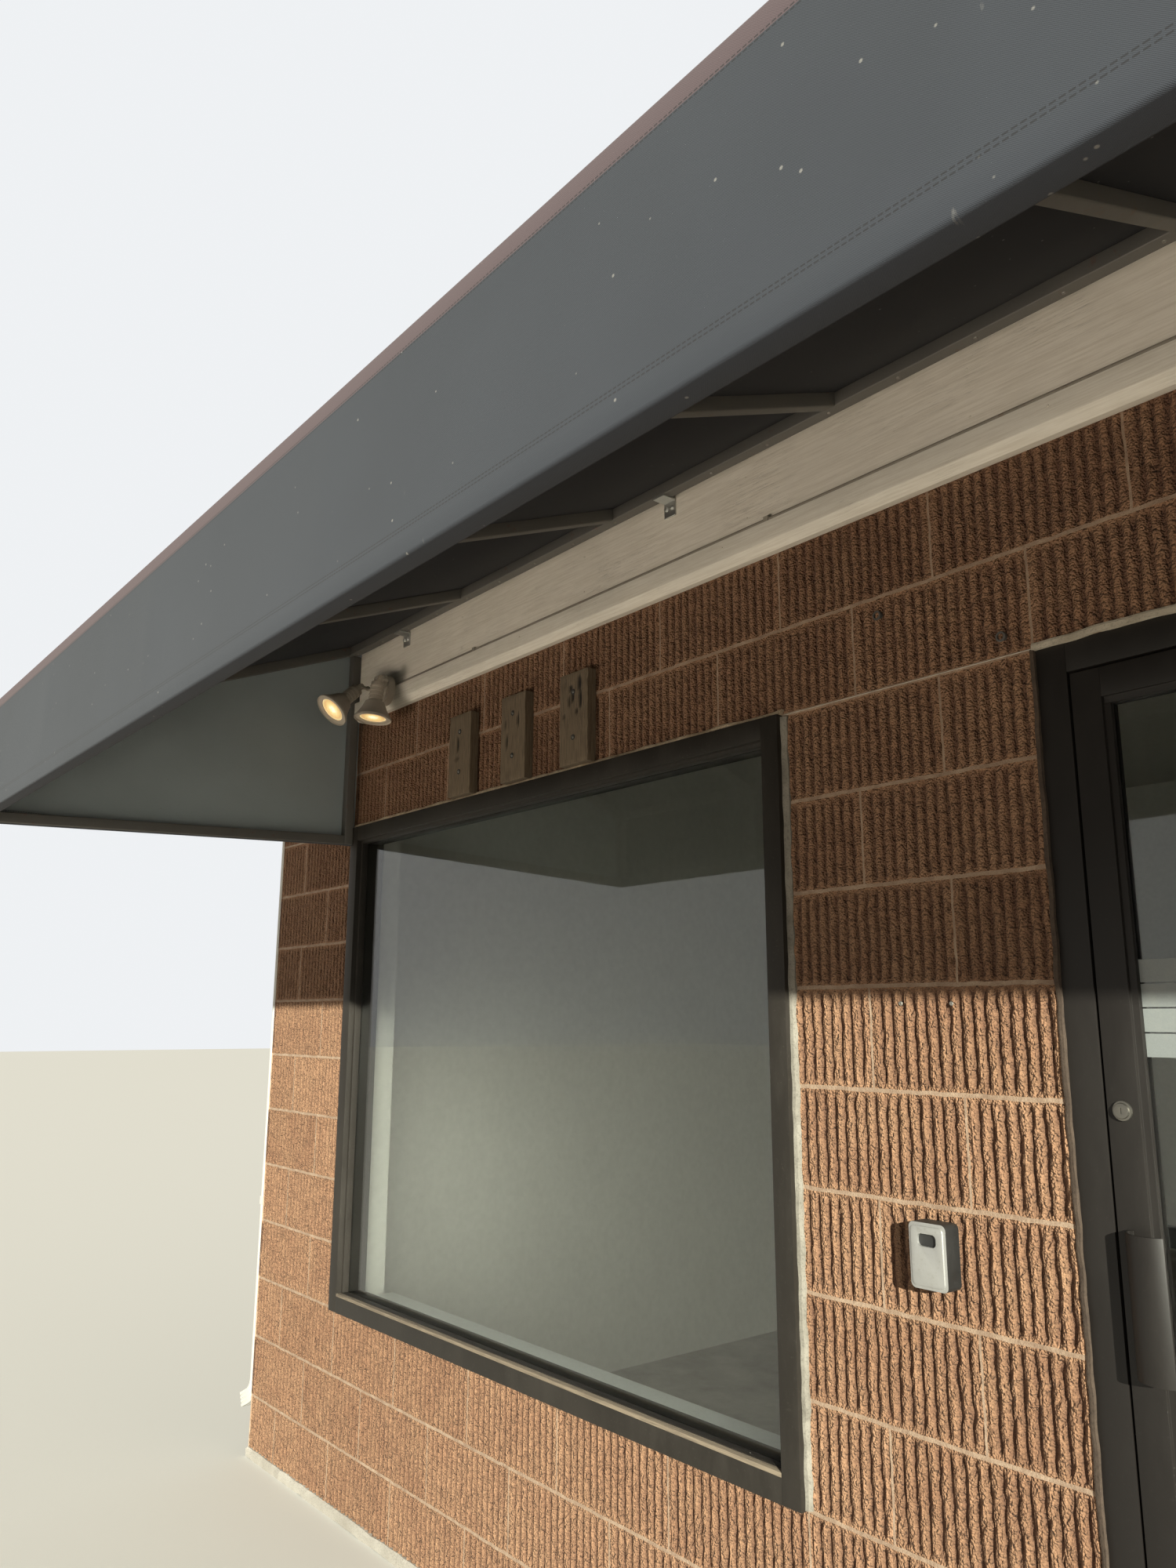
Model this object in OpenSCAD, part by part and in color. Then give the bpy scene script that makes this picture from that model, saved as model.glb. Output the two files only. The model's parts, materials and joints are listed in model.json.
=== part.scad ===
// Single-storey corner shop of ribbed concrete block, with two display windows,
// a glazed door between them and a full-width fabric awning on a tube frame.
// The origin is the centre of the footprint at ground level. X runs right along
// the front, Y runs in through the door and Z is up.

/* [Blockwork] */
// Half a block, the step of the bond along a course
half_block = 203.2; // [190:0.2:215]
// Height of one course with its joint
course = 203.2; // [190:0.2:215]
// Thickness of the block walls
wall_t = 194; // [150:1:240]
// Half blocks from each front corner to the window
corner_pier_n = 3; // [2:1:5]
// Half blocks across each display window
window_n = 10; // [8:1:12]
// Half blocks from each window to the doorway
door_pier_n = 3; // [3:1:5]
// Half blocks across the doorway
doorway_n = 5; // [5:1:6]
// Half blocks from front to back
depth_n = 32; // [24:1:40]
// Courses under each window
sill_n = 3; // [2:1:5]
// Courses up to the heads of the door and windows
head_n = 11; // [11:1:12]
// Courses in the whole wall
wall_n = 16; // [16:1:18]

/* [Floor and roof] */
// Height of the concrete floor above the ground
floor_t = 50; // [30:1:120]
// Thickness of the roof deck
roof_t = 180; // [140:1:260]
// Height of the metal edge round the roof
edge_h = 150; // [100:1:170]
// Width of the metal edge on top of the roof
edge_w = 80; // [50:1:120]
// Thickness of the metal edge
edge_t = 3; // [2:0.5:4]
// Width of the gutter at its top
gutter_w = 127; // [110:1:150]
// Height of the gutter
gutter_h = 89; // [80:1:110]
// Width of the gutter's flat bottom
gutter_base = 84; // [80:1:95]
// Height of the gutter's upright lip above its bottom
gutter_lip_z = 62; // [50:1:75]
// Width of the ogee below the lip
ogee_w = 15; // [10:1:25]
// Height of the ogee's step above the bottom
ogee_z = 40; // [30:1:45]
// Thickness of the gutter's metal
gutter_t = 3; // [2:0.5:4]
// Drop of the gutter below the top of the roof
gutter_drop = 20; // [10:1:40]
// Side of the downspout that lies along the wall
spout_w = 76; // [60:1:90]
// Side of the downspout that stands off the wall
spout_d = 51; // [40:1:60]
// Space between the downspout and the wall
spout_gap = 10; // [10:1:16]
// Distance of the downspout behind the front corner
spout_in = 18; // [10:1:60]
// Bend of the downspout's foot
spout_bend = 65; // [45:1:80]
// Radius of that bend at the middle of the pipe
spout_r = 80; // [60:1:100]
// Height of the start of the bend
spout_foot = 250; // [185:1:300]

/* [Windows] */
// Width of the window frame's bars
bar_w = 50; // [40:1:60]
// Depth of the window frame from front to back
bar_d = 114; // [90:1:130]
// How far the window frame stands out of the wall
bar_proud = 19; // [10:1:19]
// Width of the glazing stops
stop_w = 10; // [8:1:14]
// Step from the frame's face back to the stops
stop_step = 18; // [12:1:24]
// Thickness of the window glass
glass_t = 8; // [6:1:10]
// Distance of the glass behind the frame's face
glass_back = 41; // [34:1:50]
// How deep the glass sits in the frame
glass_bite = 8; // [5:1:10]
// Clearance each side of the glass
glass_clear = 0.3; // [0.2:0.1:1]
// Height of the wooden ledge on the bottom bar
ledge_h = 9; // [6:1:10]
// Thickness of the boards inside the opening
board_t = 22; // [18:1:30]
// How far the inner sill stands out into the room
sill_nose = 35; // [20:1:60]

/* [Door] */
// Width of the door frame's jambs and head
jamb_w = 58; // [48:1:66]
// Depth of the door frame
jamb_d = 114; // [100:1:130]
// Distance of the door's face behind the wall's face
door_back = 6; // [4:1:12]
// Thickness of the door leaf
leaf_t = 45; // [40:1:50]
// Gap between the leaf and its frame
leaf_gap = 5; // [5:0.5:8]
// Height of the threshold
threshold_h = 12; // [10:1:20]
// Gap under the leaf
leaf_drop = 8; // [6:1:12]
// Width of the door stop
door_stop_w = 16; // [12:1:20]
// Depth of the door stop
door_stop_d = 30; // [20:1:40]
// Width of the stiles and of the top rail
stile_w = 54; // [48:1:64]
// Height of the bottom rail
kick_h = 100; // [80:1:200]
// Width of the stops round the door's glass
door_bead_w = 12; // [8:1:16]
// Set-back of those stops from the leaf's faces
door_bead_in = 8; // [5:1:10]
// Thickness of the door's glass
door_glass_t = 6; // [5:1:8]
// How deep that glass sits in the leaf
pane_bite = 8; // [5:1:10]
// Radius of the pivot barrels
barrel_r = 9; // [8:0.5:11]
// Radius of the pivot pins
pin_r = 5; // [4:0.5:6]
// Running clearance round a pivot pin
pin_clear = 0.06; // [0.03:0.01:0.1]
// Height of one pivot barrel
barrel_h = 48; // [40:1:60]
// Space between the two barrels of a pivot
barrel_gap = 1; // [0.5:0.5:2]
// Distance of the top and bottom pivots from the leaf's ends
pivot_in = 180; // [120:5:260]
// Length of a pivot's arm along the frame
arm_l = 34; // [26:1:40]
// Height of the lock above the floor
lock_h = 1363; // [1100:1:1450]
// Radius of the lock cylinder
lock_r = 16; // [14:1:18]
// Height of the middle of the pull above the floor
pull_z = 1067; // [900:1:1150]
// Height of the pull plate
pull_h = 218; // [180:1:300]
// Radius of the pull's curve
pull_r = 44; // [34:1:50]
// Thickness of the pull plate
pull_t = 4; // [3:0.5:5]
// Height of the middle of the push bar above the floor
push_z = 1159; // [1000:1:1250]
// Height of the push bar
push_h = 34; // [30:1:50]
// Thickness of the push bar
push_t = 20; // [16:1:26]
// Space behind the push bar for a hand
push_gap = 42; // [35:1:55]

/* [Fascia] */
// Height of the batten's underside above the heads
batten_up = 392; // [340:1:430]
// Height of the batten
batten_h = 70; // [50:1:90]
// Thickness of the batten
batten_t = 38; // [30:1:45]
// Height of the batten's bevel
bevel_h = 20; // [10:1:25]
// Height of the board above the batten
fascia_h = 235; // [225:1:280]
// Thickness of the board
fascia_t = 19; // [16:1:25]
// Diameter of the conduit
conduit_d = 13; // [10:1:18]
// Length of a conduit strap
strap_w = 14; // [10:1:20]
// Distance from the lamp box to the conduit's first strap
strap_in = 474; // [300:1:700]
// Distance between the conduit's straps
strap_step = 1232; // [900:1:1400]

/* [Awning] */
// Side of the square tube
tube = 32; // [25:1:38]
// Thickness of the cloth
cloth_t = 3; // [2:0.5:4]
// Reach of the awning from the wall
awning_out = 1250; // [900:10:1500]
// Space between the rear tube and the board
rear_gap = 12; // [0:1:20]
// Height of the rear tube's underside above the heads
rear_up = 645; // [640:1:690]
// Height of the front panel's top above the heads
front_top = 215; // [180:1:300]
// Height of the front panel
front_h = 328; // [250:1:345]
// Rise of the end panel's hem from the front to the wall
hem_rise = 50; // [0:1:80]
// Distance between rafters
rafter_step = 750; // [600:5:900]
// Bay over the doorway, where the two halves of the frame meet
middle_bay = 297; // [200:1:500]
// Bays in each half of the frame
bays = 4; // [3:1:5]
// Distance of the first brackets from the middle of the shop
bracket_in = 114; // [60:1:140]
// Distance between the brackets under the rear tube
bracket_step = 1340; // [900:1:1400]
// Brackets under each half of the rear tube
bracket_n = 3; // [2:1:3]
// Width of a bracket under the rear tube
bracket_w = 40; // [30:1:60]
// Height of a bracket on the board
bracket_h = 46; // [35:1:60]
// Thickness of a bracket
bracket_t = 5; // [4:0.5:8]

/* [Lamps] */
// Distance of the lamp box from the end of the fascia
box_in = 246; // [180:1:400]
// Height of the lamp box's middle above the batten's underside
box_up = 62; // [54:1:80]
// Radius of the lamp box
box_r = 54; // [48:1:60]
// Depth of the lamp box from the batten's face
box_d = 30; // [24:1:40]
// Distance between the two lamps
lamp_step = 132; // [130:1:160]
// Radius of a lamp's rim
lamp_r = 63; // [55:1:63]
// Length from a lamp's pivot to its rim
lamp_l = 150; // [140:1:170]
// Distance from the lamp box out to the pivots
stem_l = 44; // [44:1:60]
// Rise of the stems from the box's middle to the pivots
stem_rise = 16; // [0:1:24]
// Distance of each stem's root from the box's middle
stem_root = 26; // [20:1:34]
// Radius of the knuckle at a stem's end
knuckle_r = 10; // [9:0.5:11]
// Radius of a stem's slanted arm
arm_r = 7; // [5:0.5:8]
// Radius of a stem's neck between the cheeks
stem_r = 6; // [4:0.5:6.5]
// Length of that neck from the arm to the pivot
stem_neck = 30; // [30:1:40]
// Width of the knuckle
knuckle_w = 14; // [10:1:18]
// Radius of the knuckle's pin
knuckle_pin_r = 3; // [2.5:0.5:4]
// Tilt of the left lamp out from straight down
left_tilt = 45; // [30:1:60]
// Tilt of the right lamp out from straight down
right_tilt = 6; // [5:1:40]
// Thickness of a lamp's bell
bell_t = 3; // [2:0.5:4]
// Height of the bell's rim
rim_h = 8; // [8:1:12]
// Radius of the lens
lens_r = 47; // [40:1:50]
// Thickness of the lens
lens_t = 6; // [4:1:8]
// Radius of the bell's waist
waist_r = 44; // [40:1:50]
// Height of the waist above the rim's edge
waist_z = 36; // [30:1:50]
// Radius of the bell's shoulder
shoulder_r = 33; // [28:1:38]
// Height of the shoulder above the rim's edge
shoulder_z = 62; // [55:1:75]
// Radius of the bell's neck
neck_r = 22; // [18:1:26]
// Number of ribs round the neck
neck_rib_n = 4; // [0:1:5]
// Distance between those ribs
neck_rib_step = 14; // [10:1:14]

/* [Fittings] */
// Width of a wood block over the window
block_w = 122; // [90:1:160]
// Height of a wood block
block_h = 262; // [200:1:320]
// Thickness of a wood block
block_t = 32; // [25:1:40]
// Number of wood blocks
block_n = 3; // [1:1:4]
// Distance between wood blocks
block_step = 289; // [200:1:320]
// Distance of the first wood block's middle from the window's outer edge
block_in = 729; // [600:1:800]
// Height of the wood blocks above the window
block_up = 10; // [5:1:30]
// Width of the key box
key_w = 78; // [60:1:100]
// Height of the key box
key_h = 115; // [90:1:140]
// Depth of the key box
key_d = 45; // [35:1:60]
// Height of the key box's middle above the ground
key_z = 1138; // [900:1:1300]
// Distance of the key box's middle from the doorway
key_in = 270; // [150:1:400]

/* [Hidden] */
$fn = 48;
cut = 1;

doorway_w = doorway_n * half_block;
window_w = window_n * half_block;
window_x = doorway_w / 2 + door_pier_n * half_block;
half_w = window_x + window_w + corner_pier_n * half_block;
shop_d = depth_n * half_block;
sill_z = sill_n * course;
head_z = head_n * course;
wall_h = wall_n * course;
window_h = head_z - sill_z;
roof_z = wall_h + roof_t;

lip = 2 * edge_t;
gutter_x = -half_w - edge_t;
gutter_z = roof_z - gutter_drop - gutter_h;
spout_x = -half_w - spout_gap - spout_d / 2;
spout_y = -shop_d / 2 + spout_in + spout_w / 2;
flute = 4;
seam = 0.2;
bore_d = spout_d - flute - 2 * gutter_t;
bore_w = spout_w - flute - 2 * gutter_t;

glass_y = -bar_proud + glass_back;
bar_back = bar_d - bar_proud;
glass_w = window_w - 2 * bar_w - 2 * stop_w + 2 * glass_bite;
glass_h = window_h - 2 * bar_w - 2 * stop_w + 2 * glass_bite;

threshold_z = floor_t + threshold_h;
leaf_w = doorway_w - 2 * jamb_w - 2 * leaf_gap;
leaf_z = threshold_z + leaf_drop;
leaf_h = head_z - jamb_w - leaf_gap - leaf_z;
pivot_x = leaf_w / 2 + leaf_gap / 2;
pivot_y = door_back - barrel_r - barrel_gap;
pivot_zs = [leaf_z + pivot_in, leaf_z + leaf_h / 2, leaf_z + leaf_h - pivot_in - 2 * barrel_h];
stop_y = door_back + leaf_t + leaf_gap;
frame_back = door_back + jamb_d;
bead_side = stile_w + door_bead_w;
pane_w = leaf_w - 2 * bead_side + 2 * pane_bite;
pane_z = leaf_z + kick_h + door_bead_w - pane_bite;
pane_h = leaf_h - kick_h - stile_w - 2 * door_bead_w + 2 * pane_bite;
pane_y = door_back + leaf_t / 2 - door_glass_t / 2;
lock_x = -leaf_w / 2 + stile_w / 2;

batten_z = head_z + batten_up;
fascia_z = batten_z + batten_h;
end_x = middle_bay / 2 + bays * rafter_step;
awning_x = end_x + tube / 2;
fascia_x = end_x - tube / 2;
rear_z = head_z + rear_up + tube;
front_z = head_z + front_top - cloth_t;
hem_z = head_z + front_top - front_h;
front_y = -awning_out + cloth_t;
rear_y = -fascia_t - rear_gap - tube;
wall_tube_y = -max(bar_proud, fascia_t);
conduit_end = fascia_x - box_in;
slope = atan2(rear_z - front_z, rear_y - front_y - tube);
rafter_drop = tube / cos(slope);
rafter_xs = [for (side = [-1, 1], i = [0:bays]) side * (middle_bay / 2 + i * rafter_step)];
bracket_xs = [for (side = [-1, 1], i = [0:bracket_n - 1]) side * (bracket_in + i * bracket_step)];

box_x = -fascia_x + box_in;
box_z = batten_z + box_up;
box_y = -batten_t - box_d;
lamp_y = box_y - stem_l;
lamp_z = box_z + stem_rise;
fork_reach = 6;
fork_drop = knuckle_r + fork_reach;

module front() {
    translate([0, -shop_d / 2, 0]) children();
}

module both_sides() {
    children();
    mirror([1, 0, 0]) children();
}

module box_between(a, b) {
    translate(a) cube(b - a);
}

// Shell: block walls in the lengths that the openings leave, floor and roof

module floor_slab() {
    color("darkgray") front() union() {
        box_between([-half_w + wall_t, wall_t, 0], [half_w - wall_t, shop_d - wall_t, floor_t]);
        box_between([-doorway_w / 2, 0, 0], [doorway_w / 2, wall_t, floor_t]);
    }
}

module corner_piers() {
    color("sienna") front() both_sides()
        box_between([window_x + window_w, 0, 0], [half_w, wall_t, head_z]);
}

module window_aprons() {
    color("sienna") front() both_sides()
        box_between([window_x, 0, 0], [window_x + window_w, wall_t, sill_z]);
}

module door_piers() {
    color("sienna") front() both_sides()
        box_between([doorway_w / 2, 0, 0], [window_x, wall_t, head_z]);
}

module front_head_wall() {
    color("sienna") front() box_between([-half_w, 0, head_z], [half_w, wall_t, wall_h]);
}

module side_wall() {
    front() box_between([half_w - wall_t, wall_t, 0], [half_w, shop_d - wall_t, wall_h]);
}

module left_side_wall() {
    color("peru") mirror([1, 0, 0]) side_wall();
}

module right_side_wall() {
    color("peru") side_wall();
}

module back_wall() {
    color("peru") front()
        box_between([-half_w, shop_d - wall_t, 0], [half_w, shop_d, wall_h]);
}

module roof_deck() {
    color("dimgray") front() box_between([-half_w, 0, wall_h], [half_w, shop_d, roof_z]);
}

// Metal edge: a flange on the roof, and a face over the deck with a drip lip, folded at a hairline seam

module edge_flange() {
    polygon([[edge_w, roof_z], [edge_w, roof_z + edge_t], [seam, roof_z + edge_t], [seam, roof_z]]);
}

module edge_face() {
    polygon([[0, roof_z + edge_t], [-edge_t, roof_z + edge_t], [-edge_t, roof_z - edge_h + lip],
        [-edge_t - lip, roof_z - edge_h], [-lip, roof_z - edge_h], [0, roof_z - edge_h + lip]]);
}

module edge_run(l) {
    mitre_gap = 0.5;
    out = edge_t + lip;
    half = l / 2 - mitre_gap;
    intersection() {
        rotate([90, 0, 90]) linear_extrude(l + 2 * out, center = true) children();
        linear_extrude(roof_z + 2 * edge_t)
            polygon([[-half - out, -out], [half + out, -out], [half - edge_w, edge_w],
                [edge_w - half, edge_w]]);
    }
}

module roof_edge() {
    color("darkslategray") for (turn = [0, 180]) rotate([0, 0, turn]) {
        front() {
            edge_run(2 * half_w) edge_flange();
            edge_run(2 * half_w) edge_face();
        }
        rotate([0, 0, 90]) translate([0, -half_w, 0]) {
            edge_run(shop_d) edge_flange();
            edge_run(shop_d) edge_face();
        }
    }
}

// Gutter: back, bottom and moulded front along the left eave, with a hairline seam at each fold

module gutter_front() {
    t = gutter_t;
    polygon([[-gutter_base, 0], [-gutter_base - ogee_w, ogee_z], [-gutter_w, gutter_lip_z],
        [-gutter_w, gutter_h], [-gutter_w + t, gutter_h], [-gutter_w + t, gutter_lip_z + t],
        [-gutter_base - ogee_w + t, ogee_z + t], [-gutter_base + t, t], [-gutter_base + t, 0]]);
}

module gutter_end() {
    polygon([[0, gutter_h], [0, 0], [-gutter_base, 0], [-gutter_base - ogee_w, ogee_z],
        [-gutter_w, gutter_lip_z], [-gutter_w, gutter_h]]);
}

module gutter_run(l) {
    translate([gutter_x, l / 2, gutter_z]) rotate([90, 0, 0]) linear_extrude(l) children();
}

module roof_gutter() {
    t = gutter_t;
    trough_l = shop_d - 2 * (t + seam);
    color("white") difference() {
        union() {
            gutter_run(trough_l) union() {
                translate([-t, 0]) square([t, gutter_h]);
                translate([t + seam - gutter_base, 0]) square([gutter_base - 2 * (t + seam), t]);
                gutter_front();
            }
            for (side = [-1, 1]) translate([0, side * (shop_d - t) / 2, 0]) gutter_run(t) gutter_end();
        }
        translate([spout_x, spout_y, gutter_z]) cube([bore_d, bore_w, 4 * t], center = true);
    }
}

// Downspout: a pipe down the left wall, turned out at its foot, on two straps

module spout_outline() {
    pitch_d = spout_d / 4;
    pitch_w = spout_w / 4;
    difference() {
        square([spout_d, spout_w], center = true);
        square([bore_d, bore_w], center = true);
        for (side = [-1, 1], i = [-1:1]) {
            translate([side * spout_d / 2, i * pitch_w]) square(flute, center = true);
            translate([i * pitch_d, side * spout_w / 2]) square(flute, center = true);
        }
    }
}

module spout_foot_bend() {
    run = 60;
    translate([spout_x - spout_r, spout_y, spout_foot]) rotate([90, 0, 0])
        rotate([0, 0, -spout_bend]) {
            rotate_extrude(angle = spout_bend) translate([spout_r, 0]) spout_outline();
            translate([spout_r, 0, 0]) rotate([90, 0, 0]) linear_extrude(run) spout_outline();
        }
}

module downspout() {
    strap_h = 30;
    color("white") union() {
        translate([spout_x, spout_y, spout_foot])
            linear_extrude(gutter_z - spout_foot) spout_outline();
        spout_foot_bend();
        for (z = [spout_foot + 3 * course, gutter_z - 3 * course]) difference() {
            box_between([-half_w - spout_gap - spout_d - gutter_t, spout_y - spout_w / 2 - gutter_t, z],
                [-half_w, spout_y + spout_w / 2 + gutter_t, z + strap_h]);
            translate([spout_x, spout_y, z]) cube([bore_d, bore_w, 3 * strap_h], center = true);
        }
    }
}

// Display windows: two jambs and two rails each, with stops that hold the glass

module at_windows() {
    front() both_sides() translate([window_x + window_w / 2, 0, sill_z]) children();
}

module glass_pane(clear) {
    translate([-glass_w / 2 - clear, glass_y - clear, bar_w + stop_w - glass_bite])
        cube([glass_w + 2 * clear, glass_t + 2 * clear, glass_h + clear]);
}

module window_jambs() {
    color("#2d2a28") at_windows() difference() {
        both_sides() union() {
            box_between([window_w / 2 - bar_w, -bar_proud, 0], [window_w / 2, bar_back, window_h]);
            box_between([window_w / 2 - bar_w - stop_w, -bar_proud + stop_step, bar_w + stop_w],
                [window_w / 2 - bar_w, bar_back - stop_step, window_h - bar_w - stop_w]);
        }
        glass_pane(glass_clear);
    }
}

module window_rail() {
    half = window_w / 2 - bar_w;
    box_between([-half, -bar_proud, 0], [half, bar_back, bar_w]);
    box_between([-half, -bar_proud + stop_step, bar_w], [half, bar_back - stop_step, bar_w + stop_w]);
}

module window_rails() {
    color("#2d2a28") at_windows() difference() {
        union() {
            window_rail();
            translate([0, 0, window_h]) mirror([0, 0, 1]) window_rail();
        }
        glass_pane(glass_clear);
    }
}

module window_glass() {
    color("lightblue", 0.4) at_windows() glass_pane(0);
}

module window_ledges() {
    half = window_w / 2 - bar_w;
    color("tan") at_windows()
        box_between([-half, -bar_proud, bar_w], [half, -bar_proud + stop_step, bar_w + ledge_h]);
}

module inner_boards() {
    color("whitesmoke") at_windows() {
        box_between([-window_w / 2, bar_back, 0], [window_w / 2, wall_t + sill_nose, board_t]);
        box_between([-window_w / 2, bar_back, window_h - board_t], [window_w / 2, wall_t, window_h]);
    }
}

// Door frame: jambs and head with a stop behind the leaf, and the threshold

module door_jambs() {
    color("#2d2a28") front() both_sides() union() {
        box_between([doorway_w / 2 - jamb_w, door_back, floor_t], [doorway_w / 2, frame_back, head_z]);
        box_between([doorway_w / 2 - jamb_w - door_stop_w, stop_y, threshold_z],
            [doorway_w / 2 - jamb_w, stop_y + door_stop_d, head_z - jamb_w - door_stop_w]);
    }
}

module door_head() {
    half = doorway_w / 2 - jamb_w;
    color("#2d2a28") front() union() {
        box_between([-half, door_back, head_z - jamb_w], [half, frame_back, head_z]);
        box_between([-half, stop_y, head_z - jamb_w - door_stop_w],
            [half, stop_y + door_stop_d, head_z - jamb_w]);
    }
}

module door_threshold() {
    half = doorway_w / 2 - jamb_w;
    bevel = threshold_h;
    color("silver") front() translate([-half, 0, floor_t]) rotate([90, 0, 90])
        linear_extrude(2 * half)
            polygon([[0, 0], [bevel, threshold_h], [frame_back - bevel, threshold_h], [frame_back, 0]]);
}

// Offset pivots: a fixed barrel with its pin, and the leaf's barrel that turns on it

module at_pivots() {
    front() for (z = pivot_zs) translate([pivot_x, pivot_y, z]) children();
}

module arm(side) {
    plate_t = 4;
    gap = leaf_gap / 2;
    reach = door_back - pivot_y;
    x0 = side > 0 ? gap : -gap - arm_l;
    cylinder(h = barrel_h, r = barrel_r);
    translate([x0, reach - plate_t, 0]) cube([arm_l, plate_t, barrel_h]);
    translate([side > 0 ? 0 : -gap - plate_t, 0, 0]) cube([gap + plate_t, reach - plate_t, barrel_h]);
}

module pivot_arms() {
    color("dimgray") at_pivots() {
        arm(1);
        translate([0, 0, barrel_h - cut]) cylinder(h = barrel_h + barrel_gap + cut, r = pin_r);
    }
}

module pivot_sleeves() {
    color("dimgray") at_pivots() translate([0, 0, barrel_h + barrel_gap]) difference() {
        arm(-1);
        translate([0, 0, -cut]) cylinder(h = barrel_h + 2 * cut, r = pin_r + pin_clear);
    }
}

// Door leaf: two stiles and two rails with beads, one pane, lock, pull and push bar

module door_pane(clear) {
    translate([-pane_w / 2 - clear, pane_y - clear, pane_z])
        cube([pane_w + 2 * clear, door_glass_t + 2 * clear, pane_h + clear]);
}

module door_stiles() {
    bead_z = leaf_z + kick_h + door_bead_w;
    bead_top = leaf_z + leaf_h - stile_w - door_bead_w;
    color("#2d2a28") front() difference() {
        both_sides() union() {
            box_between([leaf_w / 2 - stile_w, door_back, leaf_z],
                [leaf_w / 2, door_back + leaf_t, leaf_z + leaf_h]);
            box_between([leaf_w / 2 - bead_side, door_back + door_bead_in, bead_z],
                [leaf_w / 2 - stile_w, door_back + leaf_t - door_bead_in, bead_top]);
        }
        door_pane(glass_clear);
    }
}

module door_rail(h) {
    half = leaf_w / 2 - stile_w;
    box_between([-half, door_back, 0], [half, door_back + leaf_t, h]);
    box_between([-half, door_back + door_bead_in, h],
        [half, door_back + leaf_t - door_bead_in, h + door_bead_w]);
}

module door_rails() {
    color("#2d2a28") front() difference() {
        union() {
            translate([0, 0, leaf_z]) door_rail(kick_h);
            translate([0, 0, leaf_z + leaf_h]) mirror([0, 0, 1]) door_rail(stile_w);
        }
        door_pane(glass_clear);
    }
}

module door_glass() {
    color("lightblue", 0.4) front() door_pane(0);
}

module door_lock() {
    collar = 5;
    plug = 9;
    taper = 2;
    color("silver") front() translate([lock_x, door_back, floor_t + lock_h]) rotate([90, 0, 0])
        difference() {
            union() {
                cylinder(h = collar, r = lock_r);
                cylinder(h = plug, r1 = lock_r - taper, r2 = lock_r - 2 * taper);
            }
            translate([-cut / 2, -collar, plug - 3]) cube([cut, 2 * collar, plug]);
        }
}

module door_pull() {
    foot = 14;
    sweep = 130;
    color("#2d2a28") front() translate([lock_x - foot / 2, door_back, floor_t + pull_z - pull_h / 2])
        linear_extrude(pull_h) union() {
            translate([-foot / 2, -pull_t]) square([foot, pull_t]);
            translate([pull_r - pull_t, 0]) rotate([0, 0, 180]) intersection() {
                difference() {
                    circle(pull_r, $fn = 96);
                    circle(pull_r - pull_t, $fn = 96);
                }
                polygon([[0, 0], [2 * pull_r, 0], [2 * pull_r, 2 * pull_r], [0, 2 * pull_r],
                    [-2 * pull_r, 2 * pull_r], 2 * pull_r * [cos(sweep), sin(sweep)]]);
            }
        }
}

module push_bar() {
    inner = door_back + leaf_t;
    foot_w = 30;
    foot_x = leaf_w / 2 - stile_w / 2;
    color("#1c1b1b") front() translate([0, inner, floor_t + push_z]) union() {
        box_between([-foot_x - foot_w / 2, push_gap, -push_h / 2],
            [foot_x + foot_w / 2, push_gap + push_t, push_h / 2]);
        both_sides() box_between([foot_x - foot_w / 2, 0, -push_h / 2],
            [foot_x + foot_w / 2, push_gap + cut, push_h / 2]);
    }
}

// Fascia: a bevelled batten with a board above it, and the conduit on the batten

module fascia_board() {
    color("#b5ab98") front()
        box_between([-fascia_x, -fascia_t, fascia_z], [fascia_x, 0, fascia_z + fascia_h]);
}

module fascia_batten() {
    color("#cbc1ac") front() translate([-fascia_x, 0, batten_z]) rotate([90, 0, 90])
        linear_extrude(2 * fascia_x)
            polygon([[0, 0], [-batten_t / 2, 0], [-batten_t, bevel_h], [-batten_t, batten_h],
                [0, batten_h]]);
}

module fascia_conduit() {
    strap_t = 2;
    start = box_x + box_r;
    r = conduit_d / 2;
    body_l = 60;
    color("gray") front() translate([0, -fascia_t, fascia_z]) union() {
        translate([start, -r, r]) rotate([0, 90, 0]) cylinder(h = conduit_end - start, r = r);
        for (x = [start + strap_in:strap_step:conduit_end - strap_w])
            box_between([x, -conduit_d - strap_t, 0], [x + strap_w, 0, conduit_d + strap_t]);
        box_between([conduit_end, -2 * conduit_d, 0], [conduit_end + body_l, 0, 2 * conduit_d]);
    }
}

// Awning frame: square tubes welded to a rear tube that hangs on brackets

module awning_rear_tube() {
    color("#5a5856") front()
        box_between([-awning_x, rear_y, rear_z - tube], [awning_x, rear_y + tube, rear_z]);
}

module awning_front_tubes() {
    color("#5a5856") front() for (z = [hem_z, front_z - tube])
        box_between([-awning_x, front_y, z], [awning_x, front_y + tube, z + tube]);
}

module awning_struts() {
    color("#5a5856") front() {
        for (x = rafter_xs)
            box_between([x - tube / 2, front_y, hem_z + tube],
                [x + tube / 2, front_y + tube, front_z - tube]);
        for (x = [-end_x, end_x]) difference() {
            box_between([x - tube / 2, wall_tube_y - tube, hem_z + hem_rise],
                [x + tube / 2, wall_tube_y, rear_z - tube]);
            across(x, 2 * tube) polygon([[rear_y, rear_z], [rear_y, rear_z - rafter_drop],
                [rear_y - tube, rear_z - rafter_drop - tube * tan(slope)], [rear_y - tube, rear_z]]);
        }
    }
}

module across(x, w) {
    translate([x - w / 2, 0, 0]) rotate([90, 0, 90]) linear_extrude(w) children();
}

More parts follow.
